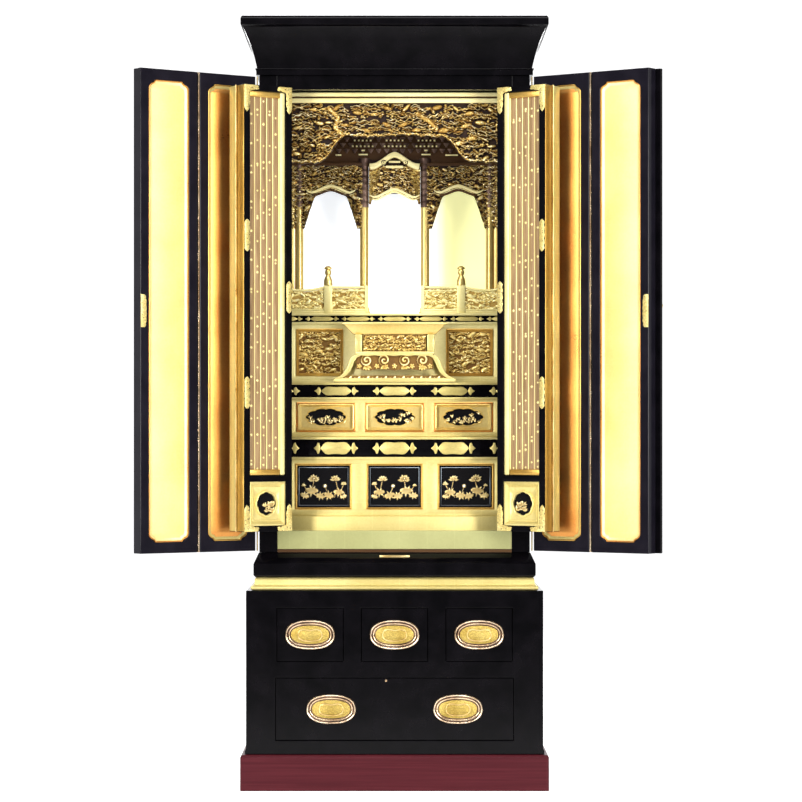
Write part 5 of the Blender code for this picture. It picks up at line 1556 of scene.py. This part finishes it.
# %% Columns
COLUMN_SPLIT = 1.1760
COLUMN_RADIUS = 9 * MM
SLEEVE_RINGS = 7
SHAFT_FOOT = ((1.40, 0), (1.42, 4), (1.2, 7), (1.3, 10), (1.02, 15), (1.0, 20))  # shares of the radius, mm
for side, name in SIDES:
    for where in ("inner", "outer"):
        node = f"column_{name}_{where}"
        low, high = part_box(node)
        spot = Matrix.Translation(((low.x + high.x) / 2, (low.y + high.y) / 2, 0.0))
        r = COLUMN_RADIUS
        shaft = [(0, low.z)] + [(share * r, low.z + z * MM) for share, z in SHAFT_FOOT]
        shaft += [(r, COLUMN_SPLIT - 1 * MM), (1.08 * r, COLUMN_SPLIT + 1 * MM)]
        shaft += [(r, COLUMN_SPLIT + 2 * MM), (0, COLUMN_SPLIT + 2 * MM)]
        piece(node + "_shaft", turned(shaft, 32, spot), HONEY_GOLD, stands_for=(node,), sharp=40.0)
        sleeve = [(0, COLUMN_SPLIT), (1.04 * r, COLUMN_SPLIT)]
        for i in range(SLEEVE_RINGS):
            z = COLUMN_SPLIT + (high.z - 12 * MM - COLUMN_SPLIT) * (i + 1) / SLEEVE_RINGS
            sleeve += [(1.04 * r, z - 2.4 * MM), (1.13 * r, z - 1.2 * MM), (1.04 * r, z)]
        sleeve += [(1.10 * r, high.z - 10 * MM), (1.35 * r, high.z - 6 * MM), (1.35 * r, high.z), (0, high.z)]
        piece(node + "_sleeve", turned(sleeve, 32, spot), DARK_BRONZE, sharp=40.0)

# %% [markdown]
# ## Balustrades
# A low fence closes the top tier on each side and leaves the middle open as a stair would. Its
# panels are carved, and the post in each ends in a lotus bud. The outer part of the top rail dips
# between the post and the column, so the rail is a rod through a curve.

# %% Balustrades
POST_X = 0.137
BUD = [
    (0, 0), (9.2, 0), (9.4, 2), (8.4, 5), (8.9, 9), (7.6, 14), (5.4, 18.5), (4.4, 20.5), (6.0, 22.5),
    (6.8, 26), (6.0, 30), (4.6, 32.5), (8.0, 33.8), (8.3, 35.4), (6.4, 37.6), (3.6, 39.6), (0, 40.4),
]
RAIL_Y, RAIL_THICK, RAIL_TALL = -0.010, 8 * MM, 56 * MM
front, back = RAIL_Y, RAIL_Y + RAIL_THICK

for side, name in SIDES:
    node = f"balustrade_{name}"
    low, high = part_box(node)
    foot = low.z
    top = foot + RAIL_TALL
    inner, outer = (low.x, high.x) if side > 0 else (high.x, low.x)
    ends = sorted((inner + side * 1 * MM, outer - side * 0.4 * MM))

    def head(x):
        share = min(1.0, max(0.0, (abs(x) - POST_X - 8 * MM) / (abs(outer) - POST_X - 8 * MM)))
        return top - 5 * MM - 6.5 * MM * math.sin(math.pi * share) ** 0.9 * (abs(x) > POST_X)

    relief = Relief(*ends, lambda _: foot + 9 * MM, head, 0.95 * MM)
    landscape(relief, *ends, foot + 9 * MM, top - 5 * MM, 3.6 * MM, 14 * MM)
    shape = carving_shape(relief, front + 3.4 * MM, back, 3.6 * MM)
    piece(node + "_carving", shape, PALE_CARVING, stands_for=(node,), sharp=60.0)
    middle = (front + back) / 2
    path = [(x, middle, head(x) + 3 * MM) for x in np.linspace(*ends, 60)]
    parts = [rod(path, 2.6 * MM)]
    for a, b, proud in ((0.0, 5.0, -1.2), (5.3, 9.5, 0.2)):
        parts.append(block(ends, (front + proud * MM, back), (foot + a * MM, foot + b * MM), 1 * MM))
    level = sorted((inner + side * 1 * MM, side * POST_X))
    parts.append(block(level, (front + 0.2 * MM, back), (top - 10.5 * MM, top - 8 * MM), 0.6 * MM))
    for x in (inner + side * 4.5 * MM, outer - side * 4.5 * MM):
        ys, zs = (front - 1.4 * MM, back), (foot, top + 1 * MM)
        parts.append(block((x - 4 * MM, x + 4 * MM), ys, zs, 1.2 * MM))
    post = side * POST_X
    ys = (front - 2.4 * MM, back + 1.4 * MM)
    parts.append(block((post - 8.5 * MM, post + 8.5 * MM), ys, (foot, top + 2 * MM), 1.2 * MM))
    seat = Matrix.Translation((post, middle, top + 2 * MM)) @ Matrix.Diagonal((1.0, 0.85, 1.0, 1.0))
    bud = turned([(r * MM, z * MM) for r, z in BUD], 20, seat)
    petals = []
    for row, (count, reach, lift) in enumerate(((8, 9.0, 7.0), (8, 6.4, 27.0))):
        for i in range(count):
            angle = 2 * math.pi * (i + 0.5 * row) / count
            turn = Matrix.Rotation(angle, 4, "Z") @ Matrix.Translation((0.84 * reach * MM, 0.0, lift * MM))
            place = seat @ turn @ Matrix.Diagonal((1.2 * MM, 2.6 * MM, 4.6 * MM, 1.0))
            petal = bmesh.new()
            bmesh.ops.create_icosphere(petal, subdivisions=2, radius=1.0, matrix=place)
            petals.append(petal)
    piece(node + "_rails", parts, PALE_GOLD, sharp=35.0)
    piece(node + "_finial", [bud] + petals, HONEY_GOLD, sharp=50.0)

# %% [markdown]
# ## Sutra table
# The small table in front of the top tier holds the book. Its slab flares out over a narrow waist,
# and cabriole legs sweep out to a foot rail. The legs and the apron are one plate with a hole, cut
# as a joiner would cut it from a board, and the carving is laid in between.

# %% Sutra table
table_low, table_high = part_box("sutra_table")
T_FRONT, T_BACK, T_FOOT = table_low.y, table_high.y, table_low.z


T_LEG = 9 * MM
LEG_OUTLINE = [  # half of the legs' outline and half of the hole, foot to waist, in mm
    (124, 0.6), (124, 7), (119, 10), (111, 13.5), (103, 20), (97, 29), (93.5, 38), (91, 46), (87, 52),
    (80, 56), (72, 58.5),
]
APRON_HOLE = [
    (106, 9.0), (98, 14), (91, 22), (86, 32), (82, 42), (77, 50), (68, 54.5), (54, 53), (42, 55), (28, 53),
    (14, 55), (4, 53.5),
]


def table_block(xs, front, back, foot, head, rounding):
    """A board of the table: its insets from the front and the back and its heights are in mm."""
    ys = (T_FRONT + front * MM, T_BACK - back * MM)
    return block(xs, ys, (T_FOOT + foot * MM, T_FOOT + head * MM), rounding * MM)


outlines = [mirrored([(x * MM, T_FOOT + z * MM) for x, z in half]) for half in (LEG_OUTLINE, APRON_HOLE)]
table = [plate(outlines, front, T_LEG, 1.6 * MM) for front in (T_FRONT, T_BACK - T_LEG)]
table.append(block((-0.1065, 0.1065), (T_FRONT, T_BACK), (table_high.z - 4.4 * MM, table_high.z), 1.2 * MM))
table.append(table_block((-0.080, 0.080), 1, 0, 57, 63, 1.8))
for side, _ in SIDES:
    for height, radius in ((92.0, 6.0), (68.5, 4.6)):
        x, z = side * 0.0745, T_FOOT + height * MM
        table.append(rod([(x, T_FRONT + 3 * MM, z), (x, T_BACK - 2 * MM, z)], radius * MM, 3))
    table.append(table_block(span(side, 0.066, 0.081), 5, 3, 62, 98, 2.0))
    table.append(table_block(span(side, 0.100, 0.124), 4, 4, 0.6, 7, 1.0))
table.append(table_block((-0.064, 0.064), 14, 6, 60, 100, 1.0))
piece("table_frame", table, GOLD, stands_for=("sutra_table",))

under = bmesh.new()
bmesh.ops.create_cube(under, size=1.0)
for vert in under.verts:
    top = vert.co.z > 0
    half = 0.1035 if top else 0.084
    inset = 1.5 * MM if top else 8 * MM
    vert.co.x = math.copysign(half, vert.co.x)
    vert.co.y = T_FRONT + inset if vert.co.y < 0 else T_BACK - 1.2 * MM
    vert.co.z = table_high.z - (4 * MM if top else 24 * MM)
round_edges(under, 1.2 * MM)
piece("table_cove", under, HONEY_GOLD)

panels = []
waist = field(0.0, T_FOOT + 80 * MM, 0.127, 0.034, 0.9 * MM)
landscape(waist, -0.063, 0.063, T_FOOT + 64 * MM, T_FOOT + 96 * MM, 5 * MM, 9 * MM)
panels.append(carving_shape(waist, T_FRONT + 10 * MM, T_FRONT + 16 * MM, 5 * MM))
apron = Relief(
    -0.078, 0.078, lambda x: T_FOOT + (24 + 3 * abs(math.sin(60 * x))) * MM,
    lambda _: T_FOOT + 55 * MM, 0.9 * MM,
)
for i, x in enumerate((-0.057, -0.021, 0.021, 0.057)):
    apron.scroll(x, T_FOOT + 45 * MM, 11.5 * MM, 0.0, 4.4 * MM, 1 if i % 2 else -1, 1.5, 0.19)
    for spread in (-0.9, -0.3, 0.3, 0.9):
        apron.leaf(x, T_FOOT + 34 * MM, 12 * MM, 3 * MM, -math.pi / 2 + spread, 3.4 * MM, 0.2)
for i in range(9):
    apron.flower(-0.072 + 0.018 * i, T_FOOT + 33 * MM, 6 * MM, 5, 3.4 * MM, i)
panels.append(carving_shape(apron, T_FRONT + 7 * MM, T_FRONT + 13 * MM, 4.4 * MM))
rail = field(0.0, T_FOOT + 7.6 * MM, 0.226, 0.0130, 0.9 * MM)
for i in range(25):
    x = -0.108 + 0.009 * i
    rail.leaf(x - 3 * MM, T_FOOT + 7.6 * MM, 8 * MM, 2.6 * MM, 0.5 * (-1) ** i, 2.6 * MM, 0.2)
    rail.dome(x, T_FOOT + 7.6 * MM, 2.2 * MM, 2.2 * MM, 0.0, 2.8 * MM)
panels.append(carving_shape(rail, T_FRONT + 3.4 * MM, T_FRONT + 12 * MM, 2.8 * MM, 0.25))
piece("table_carving", panels, BRIGHT_CARVING, sharp=60.0)

# %% [markdown]
# ## Inner doors
# The inner doors close the shrine: a black frame, slats of toned wood with gilt beads, and below
# them a bevelled panel with a medallion. They stand open at an angle, so each leaf is made facing
# forwards in a space of its own, with its face at y = 0 and its middle at x = 0, and one matrix
# then turns it into its leaf. The matrix comes from the solid's own corners, so it fits exactly.

# %% A space for each leaf
LEAF_TURN = math.atan2(0.590, 0.807)
STILE, RAIL = 14.5 * MM, 11 * MM
PLATE_BACK = 10 * MM  # the panel's face behind the frame's
MIDDLE_RAIL_Z, MIDDLE_RAIL_TALL = 0.6208, 12 * MM


def leaf_space(node, right, back):
    """From leaf space to the world, and the leaf's half width, foot and head."""
    mesh = bpy.data.objects[node].data
    along = [vert.co.dot(right) for vert in mesh.vertices]
    deep = [vert.co.dot(back) for vert in mesh.vertices]
    up = Vector((0.0, 0.0, 1.0))
    origin = right * (min(along) + max(along)) / 2 + back * min(deep)
    matrix = Matrix((right, back, up)).transposed().to_4x4()
    matrix.translation = origin
    low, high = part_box(node)
    return matrix, (max(along) - min(along)) / 2, low.z, high.z


LEAVES = {}
for side, name in SIDES:
    for where, flip in (("far", 1), ("near", -1)):
        back = flip * Vector((side * math.sin(LEAF_TURN), math.cos(LEAF_TURN), 0.0))
        right = back.cross(Vector((0.0, 0.0, 1.0)))
        hand = 1 if right.y > 0 else -1
        LEAVES[f"{name}_{where}"] = (*leaf_space(f"inner_frame_{name}_{where}", right, back), hand)
print({name: round(leaf[1] / MM, 2) for name, leaf in LEAVES.items()})

# %% Slats, beads and rosettes
SLATS = 5
ROSETTES = ((9, 13), (15, 7), (17, 10), (11, 8), (13, 6))  # the small and the large ones on each slat
MEMBER = 13 * MM


def inner_leaf(name, matrix, half, foot, head, hand):
    body = BODY_OF[f"inner_panel_{name}"]

    def add(word, shapes, finish, stands_for=(), sharp=30.0):
        shape = together(shapes)
        shape.transform(Matrix.Diagonal((hand, 1.0, 1.0, 1.0)))
        if hand < 0:
            bmesh.ops.reverse_faces(shape, faces=shape.faces)
        shape.transform(matrix)
        piece(f"inner_{name}_{word}", shape, finish, body, stands_for=stands_for, sharp=sharp)

    left, right = -half + STILE, half - STILE
    low, high = MIDDLE_RAIL_Z + MIDDLE_RAIL_TALL / 2, head - RAIL
    seat = right - MEMBER
    wide = (seat - left) / SLATS
    along = {"Start": (left, 0.0, 0.0), "Step": (wide, 0.0, 0.0)}
    ends = (low + 6 * MM, high - 6 * MM)
    ys = (PLATE_BACK - 3.2 * MM, PLATE_BACK + 0.5 * MM)
    motif = block((0.35 * MM, wide - 0.35 * MM), ys, ends, 0.7 * MM)
    slats = repeated(motif, ROW, SLAT, Count=SLATS, **along)
    xs, zs = (left + 0.6 * MM, right - 0.6 * MM), (foot + RAIL + 0.6 * MM, high - 0.6 * MM)
    base = block(xs, (PLATE_BACK, PLATE_BACK + 3.6 * MM), zs, 0.3 * MM)
    add("slats", [slats, base], SLAT, (f"inner_panel_{name}",))
    motif = rod([(0.0, PLATE_BACK - 3.4 * MM, z) for z in ends], 1 * MM, 1)
    beads = repeated(motif, ROW, PALE_GOLD, Count=SLATS + 1, **along)
    stars = []
    for i, counts in enumerate(ROSETTES):
        for count, reach in zip(counts, (3 * MM, 3.8 * MM)):
            step = (high - low) / count
            start = (left + (i + 0.5) * wide, PLATE_BACK - 3.1 * MM, low + draw.uniform(0.2, 0.8) * step)
            star = stud(reach, 0.9 * MM, 12, 0.58)
            up = (0.0, 0.0, step * 0.985)
            stars.append(repeated(star, ROW, PALE_GOLD, Start=start, Step=up, Count=count))
    add("beads", [beads] + stars, PALE_GOLD)
    xs, zs = (seat + 0.8 * MM, right - 0.5 * MM), (low + 0.5 * MM, high - 0.5 * MM)
    add("member", [block(xs, (2.5 * MM, PLATE_BACK + 1 * MM), zs, 2.4 * MM)], PALE_GOLD)
    trims = [block((left, seat + 1 * MM), (3 * MM, PLATE_BACK), ends, 2.2 * MM)
             for ends in ((low + 0.3 * MM, low + 12 * MM), (high - 12 * MM, high - 0.3 * MM))]
    add("trims", trims, DEEP_GOLD)

    z_low, z_high = foot + RAIL, MIDDLE_RAIL_Z - MIDDLE_RAIL_TALL / 2
    middle, tall, across = (z_low + z_high) / 2, z_high - z_low - 0.6 * MM, right - left - 0.6 * MM
    rays = corner_rays(across, tall, 64)
    disc = 23 * MM
    rings = []
    for inset, y in ((0.0, 2.4), (3.0, 2.0), (9.0, 6.8), (10.5, 6.0), (12.0, 7.0)):
        outline = rayed(0.0, middle, across - 2 * inset * MM, tall - 2 * inset * MM, rays)
        rings.append((outline, y * MM))
    for grow, y in ((4.2, 7.6), (3.4, 4.6), (1.4, 4.2), (0.0, 5.4), (0.0, 10.0)):
        size = 2 * (disc + grow * MM)
        rings.append((rayed(0.0, middle, size, size, rays, 8, 0.07), y * MM))
    rings.append((rayed(0.0, middle, across, tall, rays), 10 * MM))
    add("lower_panel", [lofted(rings)], GOLD)
    relief = field(0.0, middle, 2 * disc + 3 * MM, 2 * disc + 3 * MM, 0.8 * MM)
    for _ in range(16):
        x, z = draw.uniform(-0.1, 0.85) * disc, middle - draw.uniform(0.1, 0.75) * disc
        for spread in (-0.8, 0.0, 0.8):
            turn = 1.9 + spread + draw.uniform(-0.3, 0.3)
            relief.leaf(x, z, 9 * MM, 2.4 * MM, turn, LOTUS_HEIGHT, 0.2)
    relief.flower(0.30 * disc, middle - 0.25 * disc, 7 * MM, 6, 1.1 * LOTUS_HEIGHT, 0.4)
    add("medallion", [carving_shape(relief, 9.6 * MM, 13 * MM, LOTUS_HEIGHT)], NIGHT_CARVING, (), 60.0)


for name, leaf in LEAVES.items():
    inner_leaf(name, *leaf)

# %% [markdown]
# ## Gilt metal on the inner doors
# Chased plates with scalloped edges hold the corners of each frame, and long strips cover the
# edges where the leaves fold. The L shaped plate is drawn once and mirrored to the four corners.
# It stands less than a millimetre proud, because the leaves close against each other.

# %% Corner plates and edge strips
CORNER_PLATE = [
    (0.4, -0.4), (30, -0.4), (33, -1.4), (34.5, -3.2), (33, -5.0), (35.5, -6.2), (34, -8.6), (30, -9.6),
    (26.5, -8.6), (23.5, -10.4), (19.5, -10.8), (16.4, -11.4), (14.0, -14.0), (13.4, -19), (14.2, -23),
    (12.8, -28), (14.2, -33), (13.2, -39), (11.4, -43), (12.6, -46), (10.2, -50), (6.6, -53.5), (3.4, -50),
    (1.2, -46), (0.4, -42),
]
MIDDLE_PLATE = sorted(doubled([
    (-6.2, -26), (-3.0, -30), (0, -32), (3.0, -30), (6.2, -26), (5.0, -20), (6.6, -14), (5.2, -7), (6.8, 0),
]), key=lambda point: math.atan2(point[1], point[0]))
PLATE_PROUD = 0.7 * MM


def inner_fittings(name, matrix, half, foot, head, hand):
    body = BODY_OF[f"inner_frame_{name}"]
    shapes = []
    for right in (-1, 1):
        for up in (-1, 1):
            z = head if up > 0 else foot
            points = [(right * (half - x * MM), z + up * y * MM) for x, y in CORNER_PLATE]
            shapes.append(plate([points], -PLATE_PROUD, PLATE_PROUD + 0.4 * MM, 0.3 * MM))
    for away, z in ((-1, 1.1000), (-1, 0.7900), (1, 0.9800)):
        x = away * hand * (half - 7.2 * MM)
        points = [(x + a * MM, z + b * MM) for a, b in MIDDLE_PLATE]
        shapes.append(plate([points], -PLATE_PROUD, PLATE_PROUD + 0.4 * MM, 0.3 * MM))
    piece(f"inner_{name}_fittings", shapes, CHASED_BRASS, body, sharp=40.0, matrix=matrix)
    x = -hand * half
    zs = (foot + 1 * MM, head - 1 * MM)
    strip = [block((x - 0.7 * MM, x + 0.7 * MM), (0.8 * MM, 24.2 * MM), zs, 0.5 * MM)]
    for z in (0.5955, 0.9290, 1.2670):
        strip.append(block((x - 1.2 * MM, x), (1.6 * MM, 8 * MM), (z - 0.030, z + 0.030), 0.5 * MM))
    # the far leaves' strips are painted a deeper gold than the near leaves', as painted shade
    gold = GOLD if name.endswith("near") else DEEP_GOLD
    piece(f"inner_{name}_edge", strip, gold, body, matrix=matrix)


for name, leaf in LEAVES.items():
    inner_fittings(name, *leaf)

# %% [markdown]
# ## Outer doors
# Each outer leaf is a lacquered board with a long sunk panel of gold leaf, its corners cut to a
# soft ogee. The far leaves face the room, and their field is painted pale yellow as painted light.
# The near leaves stand edge-on to the dark inner doors, so their field is painted a deeper, more
# metallic gold as a painted reflection of them. The rim round each panel is painted a darker gold
# than its field, as painted shade. A narrow slope runs round each panel and catches the light
# before the flat does.

# %% Gilded panels
LEAF_STILE, LEAF_RAIL, CORNER_CUT = 20 * MM, 22 * MM, 15 * MM
RIM_PROFILE = ((0.0, 5.1), (0.0, 0.4), (0.8, 0.15), (2.0, 0.9), (2.6, 2.2), (2.6, 5.1))
SLOPE_PROFILE = ((2.2, 5.1), (2.2, 2.3), (3.4, 2.3), (8.6, 4.6), (8.6, 5.1))
# lit and shaded copies of the gold: painted light on the far fields, a painted reflection of the dark inner
# doors on the near ones, painted shade on the rims
OUTER_GOLDS = {"far": (BRIGHT_LEAF, AMBER_GOLD, PALE_GOLD), "near": (AMBER_GOLD, DEEP_GOLD, GOLD)}


def ogee_cornered(wide, tall, cut, steps=6):
    points = []
    for i, (right, up) in enumerate(((1, 1), (-1, 1), (-1, -1), (1, -1))):
        start = Vector((right * wide / 2, up * (tall / 2 - cut)))
        end = Vector((right * (wide / 2 - cut), up * tall / 2))
        if right * up < 0:
            start, end = end, start
        out = Vector((right, up)).normalized()
        for step in range(steps + 1):
            share = step / steps
            swing = 0.10 * math.sin(2 * math.pi * share) * right * up
            bow = cut * (swing + 0.06 * math.sin(math.pi * share))
            points.append(tuple(start.lerp(end, share) + out * bow))
    return points


def outer_panel(name, field_gold, rim_gold, slope_gold, matrix, half, foot, head):
    node = f"gold_panel_{name}"
    body = BODY_OF[node]
    middle = (foot + head) / 2
    wide, tall = 2 * (half - LEAF_STILE), head - foot - 2 * LEAF_RAIL

    def ring(inset, y):
        outline = ogee_cornered(wide - 2 * inset * MM, tall - 2 * inset * MM, CORNER_CUT - 0.55 * inset * MM)
        return [(x, z + middle) for x, z in outline], y * MM

    for word, profile, gold in (("_rim", RIM_PROFILE, rim_gold), ("_slope", SLOPE_PROFILE, slope_gold)):
        piece(node + word, lofted([ring(*pair) for pair in profile]), gold, body, matrix=matrix)
    outline, _ = ring(7.8, 0.0)
    flat = plate([outline], 4.3 * MM, 1 * MM, 0.25 * MM)
    piece(node + "_field", flat, field_gold, body, stands_for=(node,), matrix=matrix)


OUTER = {}
for side, name in SIDES:
    back = Vector((side * math.sin(LEAF_TURN), math.cos(LEAF_TURN), 0.0))
    right = back.cross(Vector((0.0, 0.0, 1.0)))
    for where in ("far", "near"):
        OUTER[f"{name}_{where}"] = leaf_space(f"door_{name}_{where}", right, back)
for name, leaf in OUTER.items():
    outer_panel(name, *OUTER_GOLDS[name.split("_")[1]], *leaf)
print("gilded panels:", list(OUTER))

# %% Lock plates, rods and strips
LOCK_EDGE = doubled([
    (0.6, -32), (9.0, -32), (11.4, -30), (12.4, -27), (11.4, -24), (13.6, -21), (13.0, -12), (13.8, -5),
    (13.0, 0),
])
LOCK_PIN = [(0.0, -0.3 * MM), (1.5 * MM, -0.3 * MM), (1.2 * MM, 0.05 * MM), (0.0, 0.10 * MM)]
for side, name in SIDES:
    matrix, half, foot, head = OUTER[f"{name}_far"]
    middle = (foot + head) / 2
    outer = side * half
    node = f"lock_plate_{name}"
    points = [(outer - side * x * MM, middle + z * MM) for x, z in LOCK_EDGE]
    shapes = [plate([points], -1 * MM, 0.9 * MM, 0.3 * MM)]
    for z in (-27.5, 27.5):
        shapes.append(turned(LOCK_PIN, 12, facing(outer - side * 6.5 * MM, -1 * MM, middle + z * MM)))
    piece(node + "_chased", shapes, CHASED_BRASS, BODY_OF[node], (node,), 35.0, matrix)
    rounded(f"edge_strip_{name}", RIM_BRASS, 0.5 * MM)
    for node in (f"hinge_{name}", f"inner_hinge_{name}"):
        refinish(node, BRASS)
refinish("door_knob", BRASS)
rounded("gold_moulding", GOLD, 0.9 * MM)
rounded("threshold", GREEN_GOLD, 0.7 * MM)
refinish("bay_screen", BACKING)
strike = block((-0.030, 0.030), (-0.2040, -0.1975), (0.4625, 0.4668), 0.5 * MM)
piece("strike_plate", strike, BRASS)

# %% [markdown]
# ## Drawer pulls
# The pulls are cast ovals: two pale rings with a dark groove between them and another inside, and
# a field punched all over with fine dots, on which a looped bail lies. Rings are lofted from
# ovals. The dots are one small pyramid that Geometry Nodes sets on a grid cut to the oval. The
# bail is a rod whose path is pinched at the top, like a peanut.

# %% Pulls
PULL_RINGS = (
    ((0.0, 0.0), (0.0, 2.4), (0.9, 4.6), (2.3, 5.4), (3.6, 4.8), (4.3, 2.0), (4.3, 0.0)),
    ((5.9, 0.0), (5.9, 3.4), (6.8, 4.9), (8.2, 5.0), (9.4, 3.8), (9.8, 0.0)),
)
BAIL_STEPS = 72
BAIL_SEAT = [(0, 0), (2.2 * MM, 0), (1.9 * MM, 1.6 * MM), (0.9 * MM, 2.5 * MM), (0, 2.7 * MM)]
KEYHOLE = [
    (0, -0.4 * MM), (2.8 * MM, -0.4 * MM), (2.4 * MM, 0.6 * MM), (1.2 * MM, 0.7 * MM), (0.9 * MM, 0.1 * MM),
    (0, 0.1 * MM),
]


def oval(x, z, wide, tall, power=2.35, steps=64):
    points = []
    for i in range(steps):
        angle = 2 * math.pi * i / steps
        right, up = math.cos(angle), math.sin(angle)
        points.append((
            x + wide / 2 * math.copysign(abs(right) ** (2 / power), right),
            z + tall / 2 * math.copysign(abs(up) ** (2 / power), up),
        ))
    return points


def bail_pinch(angle):
    """How far the bail is drawn in: deep at the top, with a slight bulge on either side."""
    away = abs(angle - math.pi / 2)
    return 0.24 * math.exp(-((away / 0.30) ** 2)) - 0.10 * math.exp(-(((away - 0.75) / 0.25) ** 2))


for node in ("pull_left", "pull_middle", "pull_right", "pull_wide_left", "pull_wide_right"):
    low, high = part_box(node)
    x, z, back = (low.x + high.x) / 2, (low.z + high.z) / 2, high.y
    wide, tall = high.x - low.x, high.z - low.z
    body = BODY_OF[node]

    def ring(inset, y):
        return oval(x, z, wide - 2 * inset * MM, tall - 2 * inset * MM), back - y * MM

    rings = [lofted([ring(*pair) for pair in profile]) for profile in PULL_RINGS]
    piece(node + "_rings", rings, RIM_BRASS, body, (node,), 50.0)
    groove = plate([ring(1.0, 0.0)[0]], back - 1.4 * MM, 1.2 * MM, 0.2 * MM)
    piece(node + "_groove", groove, DARK_BRONZE, body, sharp=50.0)
    cushion = plate([ring(11.4, 0.0)[0]], back - 3.3 * MM, 2.4 * MM, 0.8 * MM)
    dots = repeated(
        stud(0.70 * MM, 0.55 * MM), OVAL_GRID, PUNCHED_BRASS, Start=(x, back - 3.25 * MM, z),
        Width=wide - 27 * MM, Height=tall - 27 * MM, Columns=37, Rows=17,
    )
    piece(node + "_field", [cushion, dots], PUNCHED_BRASS, body, sharp=40.0)
    path, inside = [], []
    for i in range(BAIL_STEPS):
        angle = 2 * math.pi * i / BAIL_STEPS
        reach = (1 - bail_pinch(angle)) * MM
        right, up = math.cos(angle), math.sin(angle)
        spot = (x + 23.5 * reach * math.copysign(abs(right) ** 0.8, right),
                z - 0.5 * MM + 12.0 * reach * math.copysign(abs(up) ** 0.8, up))
        path.append((spot[0], back - 4.6 * MM, spot[1]))
        inside.append(spot)
    parts = [rod(path, 1.15 * MM, 2, True)]
    for side in (-1, 1):
        parts.append(turned(BAIL_SEAT, 16, facing(x + side * 17.5 * MM, back - 3.2 * MM, z + 9 * MM)))
    piece(node + "_bail", parts, BRASS, body, sharp=50.0)
    pad = plate([inside], back - 3.9 * MM, 1.2 * MM, 0.3 * MM)
    piece(node + "_pad", pad, PUNCHED_BRASS, body, sharp=40.0)
keyhole = turned(KEYHOLE, 20, facing(-0.0170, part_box("drawer_wide")[0].y, 0.2188))
piece("keyhole", keyhole, RIM_BRASS, BODY_OF["drawer_wide"], (), 40.0)

# %% [markdown]
# ## Sizes, and the end
# The shaped and carved pieces should fill the same box as the plain solids they stand for.
